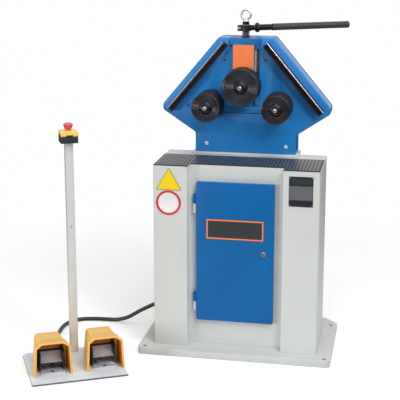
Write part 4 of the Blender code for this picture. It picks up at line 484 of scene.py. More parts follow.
for side, body, bands, flank in ROLLS:
    roll_low, roll_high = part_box(f"{side}_roll")
    across, height = (roll_low.x + roll_high.x) / 2, (roll_low.z + roll_high.z) / 2
    radius, front = (roll_high.z - roll_low.z) / 2, roll_low.y
    profile = [(SHAFT_BORE, FACE_SUNK), (radius * SUNK_SHARE, FACE_SUNK), (radius * STEP_SHARE, 0.0)]
    for share in RINGS:
        ring = radius * share
        profile += [(ring - RING_HALF, 0.0), (ring - RING_FLOOR_HALF, RING_DEPTH)]
        profile += [(ring + RING_FLOOR_HALF, RING_DEPTH), (ring + RING_HALF, 0.0)]
    profile += [(radius - RIM * inward, RIM * back) for inward, back in RIM_ARC]
    at = 0.0
    for k, width in enumerate(bands):
        if k % 2:
            waist = radius * WAIST_SHARE
            profile += [(waist, at + WAIST_STEP), (waist, at + width - WAIST_STEP)]
        else:
            if k:
                profile += [(radius - RIM, at), (radius, at + RIM)]
            profile += [(radius, at + width - RIM), (radius - RIM, at + width)]
        at += width
    profile.append((SHAFT_BORE, at))
    bm = bmesh.new()
    spun(bm, profile, (across, front, height), "Y", 96, closed=True)
    # The roll's sides behind its front rim take a darker, duller black than its face: painted shade.
    face_colour([f for f in bm.faces if f.calc_center_median().y > front + RIM], 1)
    roll_steel = turned_finish(f"turned_roll_{side}", (63, 62, 66), 0.24, (across, 0, height), flank)
    piece(f"{side}_roll_turned", bm, [roll_steel, roll_side_shade], [f"{side}_roll"], body, 30)

    cap_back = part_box(f"{side}_roll_cap")[1].y
    bm = bmesh.new()
    cap = [
        (0.0, -0.0100), (0.0130, -0.0100), (0.0185, -0.0100), (0.0195, -0.0096), (0.0212, -0.0082),
        (0.0218, -0.0082), (0.0276, -0.0028), (0.0285, -0.0012), (0.0285, 0.0), (0.0, 0.0),
    ]
    spun(bm, cap, (across, cap_back, height), "Y")
    screw_at = (across, cap_back - CAP_SCREW_FOOT, height)
    face_colour(socket_screw(bm, screw_at, 0.0080, 0.0122, "-Y", 32, hollow=2, chamfer=0.0012), 1)
    cap_steel = turned_finish(f"turned_cap_{side}", (50, 49, 52), 0.24, (across, 0, height), flank)
    cap_finishes = [cap_steel, zinc, socket_dark]
    piece(f"{side}_cap_turned", bm, cap_finishes, [f"{side}_roll_cap"], body, 30)


# Shafts, gears and bearings: ground and cut steel. The bearings sit in the head's plates, and the
# gears run in the space between them.
def painted(nodes, made):
    """Gives a finish to CAD pieces that stay as they are."""
    for node in nodes:
        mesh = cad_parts[node].data
        mesh.materials.clear()
        mesh.materials.append(made)


gear_steel = metal("cut_gear_steel", (150, 150, 152), 0.34, mottle=0.10, grain=0.10, fine=500)
painted(("left_gear", "right_gear", "drive_pinion"), gear_steel)
painted(("left_shaft", "right_shaft", "top_shaft", "drive_shaft"), bright_steel)
for side in ("left", "right"):
    painted((f"front_bearing_{side}", f"rear_bearing_{side}"), bright_steel)


# Carriage: a ground steel slide with a plain orange plate riveted on its front, over the top roll's
# shaft. The bush and the nut in it are bronze, and a thin blue sheet hung from it closes the slot below.
def rivets(bm, across, face, heights, radius, tip, length, steps=16):
    """Adds a rivet's head at each of the places across and up a front face."""
    made = []
    for x in across:
        for z in heights:
            made += bar(bm, (x, face, z), radius, length, "-Y", steps, tip=tip)
    return made


ORANGE_LOW, ORANGE_HIGH = Vector((-0.0492, 0.2189, 1.1740)), Vector((0.0390, 0.2199, 1.3080))
ORANGE_RIVETS_X, ORANGE_RIVETS_Z = (-0.0440, 0.0330), (1.1800, 1.3020)
SHEET_LOW, SHEET_HIGH = (-0.0560, 0.2862, 1.0350), (0.0500, 0.2876, 1.1030)
slide_steel = metal(
    "ground_slide_steel", (196, 196, 196), 0.34, metallic=0.75, patch=40, grain=0.06, fine=600,
)
bronze = metal("bearing_bronze", (176, 132, 74), 0.35, mottle=0.12, grain=0.08)
orange_paint = finish("orange_plate_paint", (250, 132, 76), 0.40, mottle=0.04, patch=14, grain=0.03, fine=600)
dressed_piece("carriage_ground", "carriage", slide_steel, 0.0012, 1, 60, "top_carriage")
painted(("carriage_bush", "screw_nut"), bronze)
bm = bmesh.new()
block(bm, ORANGE_LOW, ORANGE_HIGH, 0.0004)
rivets(bm, ORANGE_RIVETS_X, ORANGE_LOW.y + 0.0001, ORANGE_RIVETS_Z, 0.0022, 0.0014, 0.0009, 14)
piece("carriage_plate", bm, orange_paint, body="top_carriage")
bm = bmesh.new()
block(bm, SHEET_LOW, SHEET_HIGH, 0.0005)
piece("slot_sheet", bm, head_blue, body="top_carriage")


# Gib and bridge: the gib is a blackened strip set by three screws; the bridge is a blue block across
# the slot, with a leg over the gib's end, held by two screws from above, painted over.
def cut(bm, point, away):
    """Cuts the faces that cross a plane, and keeps both sides."""
    bmesh.ops.bisect_plane(bm, geom=bm.verts[:] + bm.edges[:] + bm.faces[:], plane_co=point, plane_no=away)


WEAR_AND_HIGHLIGHT_TO, PAINTED_TO = 0.0440, 1.0880
GIB_SCREWS, GIB_SCREW_X = (1.125, 1.185, 1.245), 0.0528
BRIDGE_SCREWS, BRIDGE_SCREW_Y = (-0.055, 0.045), 0.300
LEG_LOW, LEG_HIGH = (0.0440, 0.2531, 1.2870), (0.0586, 0.2646, 1.3030)
gib_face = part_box("carriage_gib")[0].y
bridge_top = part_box("bridge_block")[1].z
bm = dressed(copied("carriage_gib"), 0.0008, 1)
cut(bm, (WEAR_AND_HIGHLIGHT_TO, 0, 0), (1, 0, 0))
cut(bm, (0, 0, PAINTED_TO), (0, 0, 1))
# The gib's strip next to the slide is bright steel: wear, lightened as a painted highlight. Its lower end is
# painted blue with the head.
for face in bm.faces:
    middle = face.calc_center_median()
    face.material_index = 2 if middle.z < PAINTED_TO else 1 if middle.x < WEAR_AND_HIGHLIGHT_TO else 0
piece("gib_blackened", bm, [black_steel, worn_steel_and_painted_highlight, head_blue], ["carriage_gib"])
bm = bmesh.new()
for height in GIB_SCREWS:
    socket_screw(bm, (GIB_SCREW_X, gib_face + 0.0002, height), 0.0042, 0.0035)
piece("gib_screws", bm, [black_steel, socket_dark])
# The bridge takes a darker copy of the head's blue: painted shade.
bridge_blue_shade = enamel("bridge_blue_painted_shade", (26, 104, 166), 0.42, mottle=0.08, patch=8, shine=0.4)
bm = copied("bridge_block")
block(bm, LEG_LOW, LEG_HIGH)
dressed(bm, 0.0015, 2, 60)
piece("bridge_enamelled", bm, bridge_blue_shade, ["bridge_block"])
bm = bmesh.new()
for across in BRIDGE_SCREWS:
    socket_screw(bm, (across, BRIDGE_SCREW_Y, bridge_top - 0.0004), 0.0065, 0.0012, "Z")
piece("bridge_screws", bm, [dark_blue, socket_dark])

# Lead screw and eye bolt: a blackened spindle with a milled collar above the bridge; the lifting eye
# is a forged ring in bright zinc on a round black nut.
SCREW_X, SCREW_Y = -0.005, 0.287
SCREW_RADIUS, THREAD_DEPTH, PITCH, THREAD_LOW, THREAD_HIGH = 0.0135, 0.0015, 0.005, 1.1675, 1.2980
COLLAR_TEETH, TOOTH_LOW, TOOTH_HIGH = 9, (0.0142, -0.0010, 1.3400), (0.0153, 0.0010, 1.3590)
EYE_RADIUS, EYE_WIRE, EYE_STEPS, ZINC_FROM = 0.020, 0.0050, 16, 0.0140
SCREW_LINE = Matrix.Translation((SCREW_X, SCREW_Y, 0))
bm = bmesh.new()
spindle = [
    (0.0, 1.3868), (0.0105, 1.3868), (0.0110, 1.3863), (0.0110, 1.3608), (0.0143, 1.3605),
    (0.0148, 1.3600), (0.0148, 1.3389), (0.0182, 1.3389), (0.0190, 1.3382), (0.0190, 1.3339),
    (SCREW_RADIUS, 1.3339), (SCREW_RADIUS, 1.3016), (0.0190, 1.3016), (0.0190, 1.2966), (0.0, 1.2966),
]
spun(bm, spindle, (SCREW_X, SCREW_Y, 0), "Z", 48)
root = SCREW_RADIUS - THREAD_DEPTH
threads = [(0.0, THREAD_HIGH), (SCREW_RADIUS - 0.0005, THREAD_HIGH), (SCREW_RADIUS, THREAD_HIGH - 0.0020)]
height = THREAD_HIGH - 0.0030
while height > THREAD_LOW + PITCH:
    threads += [(SCREW_RADIUS, height), (root, height - 0.0015)]
    threads += [(root, height - 0.0025), (SCREW_RADIUS, height - 0.0040)]
    height -= PITCH
threads += [(SCREW_RADIUS, THREAD_LOW + 0.001), (SCREW_RADIUS - 0.001, THREAD_LOW), (0.0, THREAD_LOW)]
spun(bm, threads, (SCREW_X, SCREW_Y, 0), "Z", 32)
# The collar's teeth are bright steel: wear and painted highlight stripes down the collar.
for k in range(COLLAR_TEETH):
    turn = SCREW_LINE @ Matrix.Rotation(math.tau * k / COLLAR_TEETH, 4, "Z")
    face_colour(block(bm, TOOTH_LOW, TOOTH_HIGH, matrix=turn), 1)
piece("lead_screw_turned", bm, [black_steel, worn_steel_and_painted_highlight], ["lead_screw"], "screw", 30)
eye_low, eye_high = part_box("eye_bolt")
bm = bmesh.new()
eye_nut = [
    (0.0, 0.0256), (0.0062, 0.0256), (0.0068, 0.0216), (0.0090, 0.0206), (0.0115, 0.0204),
    (0.0125, 0.0190), (0.0128, 0.0144), (0.0145, 0.0132), (0.0145, 0.0015), (0.0135, 0.0), (0.0, 0.0),
]
spun(bm, eye_nut, (SCREW_X, SCREW_Y, eye_low.z), "Z", 40)
face_colour([f for f in bm.faces if f.calc_center_median().z > eye_low.z + ZINC_FROM], 1)
corners = [math.tau * k / EYE_STEPS for k in range(EYE_STEPS)]
wire = [(EYE_RADIUS + EYE_WIRE * math.cos(turn), EYE_WIRE * math.sin(turn)) for turn in corners]
eye_centre = (SCREW_X, SCREW_Y, eye_high.z - EYE_RADIUS - EYE_WIRE)
face_colour(spun(bm, wire, eye_centre, "Y", 56, closed=True), 1)
eye_zinc = metal(
    "eye_zinc", (204, 205, 208), 0.36, metallic=0.85, mottle=0.10, patch=120, grain=0.15, fine=500,
)
piece("lifting_eye", bm, [black_steel, eye_zinc], ["eye_bolt"], "screw", 40)

# Ratchet handle: forged head with a forked tail and its pawl, a turned bar with a collar, and a black
# ribbed plastic grip with a rounded end.
HANDLE_HEIGHT, HANDLE_TURN = 1.3738, math.radians(30)
HANDLE = Matrix.Translation((SCREW_X, SCREW_Y, HANDLE_HEIGHT)) @ Matrix.Rotation(HANDLE_TURN, 4, "Z")
ALONG = HANDLE.to_3x3().to_4x4() @ TURNS["X"]
PAWL_X, PAWL_LOW, PAWL_HIGH = -0.0290, (-0.0350, -0.0070, -0.0040), (-0.0225, 0.0070, 0.0040)
BAR_RIBS, BAR_RIBS_FROM, BAR_RIB_PITCH = 9, 0.066, 0.005
GRIP_RIBS_FROM, GRIP_RIBS_TO, GRIP_RIB_PITCH = 0.1290, 0.465, 0.020
dressed_piece("ratchet_forged", "ratchet_head", black_steel, 0.0008, 1, 50, "handle")
bm = bmesh.new()
block(bm, PAWL_LOW, PAWL_HIGH, 0.0012, 2, HANDLE)
bar(bm, HANDLE @ Vector((PAWL_X, 0, 0.0120)), 0.0042, 0.0035, "Z", 24)
bar(bm, HANDLE @ Vector((PAWL_X, 0, -0.0045)), 0.0030, 0.0170, "Z", 20)
bar(bm, HANDLE @ Vector((0, 0, 0.0128)), 0.0165, 0.0014, "Z", 40)
piece("ratchet_pawl", bm, worn_steel_and_painted_highlight, body="handle")
bm = bmesh.new()
handle_bar = [
    (0.0, 0.0303), (0.0100, 0.0303), (0.0115, 0.0313), (0.0115, 0.0455), (0.0160, 0.0460),
    (0.0198, 0.0468), (0.0204, 0.0482), (0.0204, 0.0555), (0.0197, 0.0570), (0.0150, 0.0577),
    (0.0125, 0.0585), (0.0125, 0.1130), (0.0118, 0.1190), (0.0090, 0.1190), (0.0090, 0.4000),
    (0.0, 0.4000),
]
spun(bm, handle_bar, HANDLE.translation, ALONG, 40)
for k in range(BAR_RIBS):
    start = BAR_RIBS_FROM + k * BAR_RIB_PITCH
    rib = [(0.0118, start), (0.0132, start + 0.0008), (0.0132, start + 0.0022), (0.0118, start + 0.0030)]
    spun(bm, rib, HANDLE.translation, ALONG, 32, closed=True)
piece("handle_bar_turned", bm, black_steel, ["handle_bar"], "handle")
grip_plastic = finish("grip_plastic", (46, 47, 50), 0.48, mottle=0.12, patch=40, grain=0.10)
grip = [(0.0093, 0.1193), (0.0138, 0.1193), (0.0150, 0.1205), (0.0150, 0.1240), (0.0145, 0.1248)]
at = GRIP_RIBS_FROM
while at < GRIP_RIBS_TO:
    grip += [(0.0144, at), (0.0149, at + 0.004), (0.0149, at + 0.012), (0.0144, at + 0.016)]
    grip.append((0.0141, at + 0.018))
    at += GRIP_RIB_PITCH
grip += [
    (0.0151, 0.4720), (0.0151, 0.4790), (0.0145, 0.4825), (0.0125, 0.4850), (0.0092, 0.4865), (0.0, 0.4870),
    (0.0, 0.4003), (0.0093, 0.4003),
]
bm = bmesh.new()
spun(bm, grip, HANDLE.translation, ALONG, 40, closed=True)
piece("handle_grip_ribbed", bm, grip_plastic, ["handle_grip"], "handle")

# Door: folded sheet steel in blue enamel on two lift-off hinges. A plain dark plate with an orange
# border is riveted to its front, and a round lock with a key slot closes it.
DOOR_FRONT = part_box("door")[0].y
SIGN_LEFT, SIGN_RIGHT, SIGN_LOW, SIGN_HIGH, SIGN_RIVET_INSET = -0.128, 0.117, 0.507, 0.595, 0.0055
LOCK_X, LOCK_Z, KEY_HALF_WIDTH, KEY_HALF_HEIGHT = 0.116, 0.449, 0.0010, 0.0055
CAM_HALF_WIDTH, CAM_DROP = 0.007, 0.055
blue_paint = enamel("blue_enamel", (0, 98, 164), 0.40, mottle=0.06, patch=5, shine=0.25)
dressed_piece("door_enamelled", "door", blue_paint, 0.0009, 2, 60, "cabinet_door")
for end in ("upper", "lower"):
    dressed_piece(f"hinge_{end}", f"hinge_post_{end}", grey_paint, 0.0005, 1, 60)
plate_dark = finish("plate_dark", (46, 50, 54), 0.35, mottle=0.08, patch=30, grain=0.03)
bm = bmesh.new()
block(bm, (SIGN_LEFT, DOOR_FRONT - 0.0012, SIGN_LOW), (SIGN_RIGHT, DOOR_FRONT - 0.0001, SIGN_HIGH), 0.0004)
front = min(bm.faces, key=lambda f: f.calc_center_median().y)
bmesh.ops.inset_region(bm, faces=[front], thickness=0.0012)
face_colour(bmesh.ops.inset_region(bm, faces=[front], thickness=0.0085)["faces"], 1)
bmesh.ops.translate(bm, vec=(0, 0.0003, 0), verts=front.verts)
across = (SIGN_LEFT + SIGN_RIVET_INSET, SIGN_RIGHT - SIGN_RIVET_INSET)
heights = (SIGN_LOW + SIGN_RIVET_INSET, SIGN_HIGH - SIGN_RIVET_INSET)
face_colour(rivets(bm, across, DOOR_FRONT - 0.0010, heights, 0.0024, 0.0015, 0.0010), 2)
piece("door_plate", bm, [plate_dark, orange_paint, bright_steel], body="cabinet_door")
# The lock's nickel is tinted a darker blue-grey: a painted reflection of the blue door.
lock_nickel_painted_reflection = metal("lock_nickel_painted_reflection", (122, 136, 156), 0.30, mottle=0.10)
bm = bmesh.new()
lock_body = [
    (0.0, -0.0033), (0.0085, -0.0033), (0.0092, -0.0028), (0.0100, -0.0028), (0.0115, -0.0033),
    (0.0130, -0.0018), (0.0130, -0.0003), (0.0090, -0.0003), (0.0090, 0.0275), (0.0, 0.0275),
]
spun(bm, lock_body, (LOCK_X, DOOR_FRONT, LOCK_Z), "Y", 40)
key_low = (LOCK_X - KEY_HALF_WIDTH, DOOR_FRONT - 0.0036, LOCK_Z - KEY_HALF_HEIGHT)
key_high = (LOCK_X + KEY_HALF_WIDTH, DOOR_FRONT - 0.0030, LOCK_Z + KEY_HALF_HEIGHT)
face_colour(block(bm, key_low, key_high), 1)
cam_low = (LOCK_X - CAM_HALF_WIDTH, DOOR_FRONT + 0.0248, LOCK_Z - CAM_DROP)
cam_high = (LOCK_X + CAM_HALF_WIDTH, DOOR_FRONT + 0.0276, LOCK_Z + CAM_HALF_WIDTH)
block(bm, cam_low, cam_high, 0.0008)
piece("door_lock_turned", bm, [lock_nickel_painted_reflection, socket_dark], ["door_lock"], "lock")

# Plates on the columns: a plain yellow triangle and a plain white disc with a red rim on the left, and
# a dark blank plate with a grey panel and a dark strip above it, held by four rivets, on the right.
PLATE_BACK = -0.0003
TRIANGLE = ((-0.3370, -0.0004, 0.7200), (-0.2270, -0.0004, 0.7200), (-0.2820, -0.0004, 0.8150))
TRIANGLE_ROUND, TRIANGLE_THICK, TRIANGLE_EDGE = 0.006, 0.0008, 0.0016
DISC_X, DISC_Z, DISC_RADIUS, RED_FROM = -0.284, 0.664, 0.0540, 0.0435
BLANK_LEFT, BLANK_RIGHT, BLANK_LOW, BLANK_HIGH, BLANK_RIVET_INSET = 0.222, 0.322, 0.674, 0.801, 0.0045
PANELS = ((0.2235, 0.3205, 0.7020, 0.7610, 1), (0.2305, 0.3135, 0.7680, 0.7930, 3))
PANEL_FRONT, PANEL_BACK = -0.0018, -0.0012
yellow_plate = finish("yellow_plate", (250, 214, 20), 0.38, mottle=0.03, patch=20, grain=0.02)
white_plate = finish("white_plate", (238, 238, 236), 0.38, mottle=0.02, patch=20, grain=0.02)
red_rim = finish("red_rim", (214, 56, 66), 0.38, mottle=0.04, patch=20, grain=0.02)
panel_grey = finish("panel_grey", (98, 98, 106), 0.40, patch=30, grain=0.03)
label_black = finish("label_black", (30, 32, 35), 0.34, mottle=0.08, patch=30, grain=0.03)
bm = bmesh.new()
corners = [bm.verts.new(corner) for corner in TRIANGLE]
bm.faces.new(corners)
bmesh.ops.bevel(
    bm, geom=corners, offset=TRIANGLE_ROUND, segments=4, profile=0.5, affect="VERTICES", material=-1,
)
raised = bmesh.ops.extrude_face_region(bm, geom=list(bm.faces))["geom"]
raised = [v for v in raised if isinstance(v, bmesh.types.BMVert)]
bmesh.ops.translate(bm, vec=(0, -TRIANGLE_THICK, 0), verts=raised)
bmesh.ops.recalc_face_normals(bm, faces=bm.faces)
front = min(bm.faces, key=lambda f: f.calc_center_median().y)
bmesh.ops.inset_region(bm, faces=[front], thickness=TRIANGLE_EDGE)
face_colour([f for f in bm.faces if f != front], 1)
piece("triangle_plate", bm, [yellow_plate, plate_dark])
bm = bmesh.new()
disc = [
    (0.0, -0.0012), (RED_FROM, -0.0012), (0.0440, -0.0014), (0.0535, -0.0014), (DISC_RADIUS, -0.0010),
    (DISC_RADIUS, PLATE_BACK), (0.0, PLATE_BACK),
]
spun(bm, disc, (DISC_X, 0, DISC_Z), "Y", 72)
for face in bm.faces:
    middle = face.calc_center_median()
    if math.hypot(middle.x - DISC_X, middle.z - DISC_Z) > RED_FROM:
        face.material_index = 1
piece("disc_plate", bm, [white_plate, red_rim])
bm = bmesh.new()
block(bm, (BLANK_LEFT, -0.0014, BLANK_LOW), (BLANK_RIGHT, PLATE_BACK, BLANK_HIGH), 0.0004)
for left, right, low, high, colour in PANELS:
    face_colour(block(bm, (left, PANEL_FRONT, low), (right, PANEL_BACK, high), 0.0002), colour)
across = (BLANK_LEFT + BLANK_RIVET_INSET, BLANK_RIGHT - BLANK_RIVET_INSET)
heights = (BLANK_LOW + BLANK_RIVET_INSET, BLANK_HIGH - BLANK_RIVET_INSET)
face_colour(rivets(bm, across, PANEL_BACK, heights, 0.0026, 0.0016, 0.0011), 2)
piece("rating_plate", bm, [label_black, panel_grey, bright_steel, plate_dark])

# Gearbox and motor behind the head, in grey machine enamel. The gearbox has turned covers and four
# screws at its back, and the motor a slotted fan cowl and a screwed lid on its terminal box.
DRIVE_X, PINION_Z, MOTOR_Y = -0.005, 0.97612, 0.443
COVER_SCREW_X, COVER_SCREW_Y, COVER_SCREW_Z = 0.055, 0.4998, 0.062
REAR_COVER_Y, SIDE_COVER_X = 0.4995, 0.0695
REAR_COVER = [(0.0, 0.0050), (0.040, 0.0050), (0.044, 0.0015), (0.048, 0.0), (0.0, 0.0)]
SIDE_COVER = [(0.0, 0.0060), (0.036, 0.0060), (0.040, 0.0030), (0.044, 0.0), (0.0, 0.0)]
LID_SCREW_X, LID_SCREWS = 0.0452, ((0.362, 0.698), (0.402, 0.772))
COWL_SLOTS, SLOT_LOW, SLOT_HIGH = 10, (0.0655, -0.0050, 0.6420), (0.0664, 0.0050, 0.6660)
SIDES = ((-1, "-X"), (1, "X"))
machine_enamel = finish("machine_enamel", (122, 130, 136), 0.42, patch=12, grain=0.08, fine=420)
piece("gearbox_enamelled", copied("gearbox_housing"), machine_enamel, ["gearbox_housing"])
piece("motor_enamelled", copied("drive_motor"), machine_enamel, ["drive_motor"])
bm = bmesh.new()
spun(bm, REAR_COVER, (DRIVE_X, REAR_COVER_Y, PINION_Z), "Y", 56)
for side, out in SIDES:
    for rise in (-COVER_SCREW_Z, COVER_SCREW_Z):
        screw_at = (DRIVE_X + side * COVER_SCREW_X, COVER_SCREW_Y, PINION_Z + rise)
        socket_screw(bm, screw_at, 0.0065, 0.0055, "Y")
    spun(bm, SIDE_COVER, (DRIVE_X + side * SIDE_COVER_X, MOTOR_Y, PINION_Z), out, 48)
piece("gearbox_covers", bm, [machine_enamel, socket_dark])
bm = bmesh.new()
for side, out in SIDES:
    for back, height in LID_SCREWS:
        socket_screw(bm, (DRIVE_X + side * LID_SCREW_X, back, height), 0.0032, 0.0028, out)
for k in range(COWL_SLOTS):
    turn = Matrix.Translation((DRIVE_X, MOTOR_Y, 0)) @ Matrix.Rotation(math.tau * k / COWL_SLOTS, 4, "Z")
    face_colour(block(bm, SLOT_LOW, SLOT_HIGH, matrix=turn), 1)
piece("motor_fittings", bm, [machine_enamel, socket_dark])

# Inside the cabinet: the dark painted support frame, and the galvanised electrical plate with a row
# of plain switchgear clipped on it, two slotted cable ducts and a wound transformer.
SWITCHES, SWITCH_LEFT, SWITCH_PITCH, SWITCH_WIDTH = 5, -0.108, 0.0435, 0.0400
SWITCH_LOW, SWITCH_HIGH, LEVER_INSET, LEVER_LOW, LEVER_HIGH = 0.500, 0.575, 0.0080, 0.520, 0.556
SWITCH_DEPTH, TRANSFORMER_DEPTH = 0.065, 0.075
TERMINALS, TERMINAL_INSET, TERMINAL_PITCH = 3, 0.0090, 0.0110
DUCT_LOWS, DUCT_HALF_WIDTH, DUCT_HEIGHT = (0.315, 0.640), 0.190, 0.030
VENTS, VENT_LEFT, VENT_PITCH, VENT_WIDTH, VENT_MARGIN = 30, -0.184, 0.0125, 0.006, 0.004
WINDING_LEFT, WINDING_RIGHT, WINDING_LOW, WINDING_HIGH = -0.098, -0.032, 0.336, 0.394
plate_zinc = metal("plate_zinc", (196, 198, 198), 0.40, metallic=0.5, mottle=0.06, patch=30, fine=600)
switch_black = finish("switch_black", (44, 46, 50), 0.50, mottle=0.10, patch=40, grain=0.06, fine=800)
duct_grey = finish("duct_grey", (150, 156, 160), 0.55, patch=30, grain=0.06, fine=800)
copper = metal(
    "winding_copper", (168, 96, 52), 0.40, metallic=0.8, mottle=0.20, patch=200, grain=0.30, fine=1500,
)
painted(["support_frame"], dark_blue)
painted(["electrical_plate"], plate_zinc)
plate_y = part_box("electrical_plate")[0].y + TRANSFORMER_DEPTH
switch_y = plate_y - SWITCH_DEPTH
bm = bmesh.new()
for k in range(SWITCHES):
    left = SWITCH_LEFT + k * SWITCH_PITCH
    right = left + SWITCH_WIDTH
    block(bm, (left, switch_y - 0.0050, SWITCH_LOW), (right, switch_y + 0.0200, SWITCH_HIGH), 0.0020, 2)
    lever_low = (left + LEVER_INSET, switch_y - 0.0080, LEVER_LOW)
    lever_high = (right - LEVER_INSET, switch_y, LEVER_HIGH)
    face_colour(block(bm, lever_low, lever_high, 0.0015, 2), 1)
    across = [left + TERMINAL_INSET + j * TERMINAL_PITCH for j in range(TERMINALS)]
    heights = (SWITCH_LOW + 0.0050, SWITCH_HIGH - 0.0100)
    face_colour(rivets(bm, across, switch_y - 0.0048, heights, 0.0030, 0.0030, 0.0012, 14), 2)
for low in DUCT_LOWS:
    duct_low = (-DUCT_HALF_WIDTH, plate_y - 0.0400, low)
    duct_high = (DUCT_HALF_WIDTH, plate_y + 0.0005, low + DUCT_HEIGHT)
    face_colour(block(bm, duct_low, duct_high, 0.0015), 1)
    # The duct's slots are thin dark strips on its front: painted shade.
    for k in range(VENTS):
        left = VENT_LEFT + k * VENT_PITCH
        vent_low = (left, plate_y - 0.0404, low + VENT_MARGIN)
        vent_high = (left + VENT_WIDTH, plate_y - 0.0398, low + DUCT_HEIGHT - VENT_MARGIN)
        face_colour(block(bm, vent_low, vent_high), 3)
piece("switchgear_row", bm, [switch_black, duct_grey, bright_steel, plate_dark])
winding_low = (WINDING_LEFT, plate_y - TRANSFORMER_DEPTH - 0.0032, WINDING_LOW)
winding_high = (WINDING_RIGHT, plate_y - TRANSFORMER_DEPTH + 0.0098, WINDING_HIGH)
bm = bmesh.new()
block(bm, winding_low, winding_high, 0.0040, 2)
piece("transformer_winding", bm, copper)

# Pedal stand: a free-standing steel plate and a square post. The plate is light grey with its edges
# painted dark grey as painted shade, the post a warmer grey, with one small screw in its front.
POST = Vector((0.219, 0.305, 0.0))
POST_SCREW = POST + Vector((0.0, -0.0172, 0.569))
post_paint = finish("post_paint", (214, 213, 211), 0.44, mottle=0.03, patch=8, grain=0.05, fine=500)
stand_paint = finish("stand_paint", (218, 226, 232), 0.48, patch=30, grain=0.10, fine=500)
stand_edge_shade = finish("stand_edge_painted_shade", (96, 98, 102), 0.55, mottle=0.15, patch=40, grain=0.15, fine=700)
bm = dressed(copied("stand_base"), 0.0012)
# The plate's side faces take the dark grey: painted shade.
face_colour([face for face in bm.faces if abs(face.normal.z) < 0.5], 1)
piece("stand_plate_painted", bm, [stand_paint, stand_edge_shade], ["stand_base"])
piece("post_painted", copied("stand_post"), post_paint, ["stand_post"], smooth=30)
bm = bmesh.new()
bar(bm, STAND @ POST_SCREW, 0.0032, 0.0018, STAND.to_3x3().to_4x4() @ TURNS["-Y"], 20, tip=0.0024)
piece("post_screw", bm, bright_steel)

# Stop box: a moulded black base and a yellow lid, clipped at the sides and screwed together at the
# corners, with a red mushroom button in a yellow collar.
LID_LOW, LID_TOP = 0.9576, 0.9746
LATCH_OUT, LATCH_HALF_LENGTH, LATCH_HALF_DEPTH, LID_SCREW_OUT = 0.0355, 0.014, 0.0012, 0.027
box_black = finish("box_black", (38, 39, 42), 0.45, mottle=0.10, patch=40, grain=0.10)
box_yellow = finish("box_yellow", (252, 214, 104), 0.38, mottle=0.03, patch=20, grain=0.06)
button_red = finish("button_red", (228, 74, 88), 0.34, mottle=0.04, patch=40, grain=0.02, coat=0.4)
dressed_piece("stop_base_moulded", "stop_box_base", box_black, 0.0012, 2, 55)
dressed_piece("stop_lid_moulded", "stop_box_lid", box_yellow, 0.0018, 3, 55)
bm = bmesh.new()
for quarter in range(4):
    placed = STAND @ Matrix.Translation(POST) @ Matrix.Rotation(math.pi / 2 * quarter, 4, "Z")
    latch_low = (-LATCH_HALF_LENGTH, LATCH_OUT - LATCH_HALF_DEPTH, LID_LOW - 0.006)
    latch_high = (LATCH_HALF_LENGTH, LATCH_OUT + LATCH_HALF_DEPTH, LID_LOW + 0.0055)
    block(bm, latch_low, latch_high, 0.0010, 2, placed)
piece("stop_box_latches", bm, box_black)
bm = bmesh.new()
for across in (-LID_SCREW_OUT, LID_SCREW_OUT):
    for back in (-LID_SCREW_OUT, LID_SCREW_OUT):
        socket_screw(bm, STAND @ (POST + Vector((across, back, LID_TOP - 0.0002))), 0.0030, 0.0012, "Z", 18)
piece("stop_box_screws", bm, [bright_steel, socket_dark])
bm = bmesh.new()
mushroom = [
    (0.0, 0.0355), (0.006, 0.0352), (0.012, 0.0338), (0.0165, 0.0312), (0.0192, 0.0285),
    (0.0200, 0.0262), (0.0198, 0.0240), (0.0188, 0.0225), (0.0172, 0.0180), (0.0156, 0.0130),
    (0.0146, 0.0085), (0.0138, 0.0080), (0.0110, 0.0080), (0.0110, -0.0100), (0.0, -0.0100),
]
spun(bm, mushroom, STAND @ (POST + Vector((0, 0, LID_TOP))), "Z", 56)
piece("mushroom_button", bm, button_red, ["stop_button"], "emergency_button", 40)

# Pedal guards: one-piece orange plastic hoods with a lip round their mouths, each over a switch with
# a grey treadle hinged between two black cheeks.
MOUTH, LIP_DEPTH, LIP_HEIGHT = 0.068, 0.011, 0.0022
HOOD_MIDDLE, HOOD_LOW, HOUSING_FRONT, FLOOR_TOP, FLOOR_SCREW_Y = 0.040, 0.0760, 0.1900, 0.0133, 0.100
PIVOT_BACK, PIVOT_UP, SLOPE, EDGE_AT = 0.182, 0.068, math.radians(21), 0.068
guard_orange = finish("guard_orange", (255, 192, 76), 0.38, patch=12, grain=0.12, fine=700)
guard_inside_painted_shade = finish("guard_inside_painted_shade", (204, 116, 52), 0.46, mottle=0.06, patch=12, grain=0.12, fine=700)
pedal_black = finish("pedal_black", (34, 34, 36), 0.48, mottle=0.12, patch=40, grain=0.12)
pedal_grey = metal("pedal_grey", (204, 208, 214), 0.44, metallic=0.2, mottle=0.08, patch=40, grain=0.10)
to_stand = STAND.inverted()
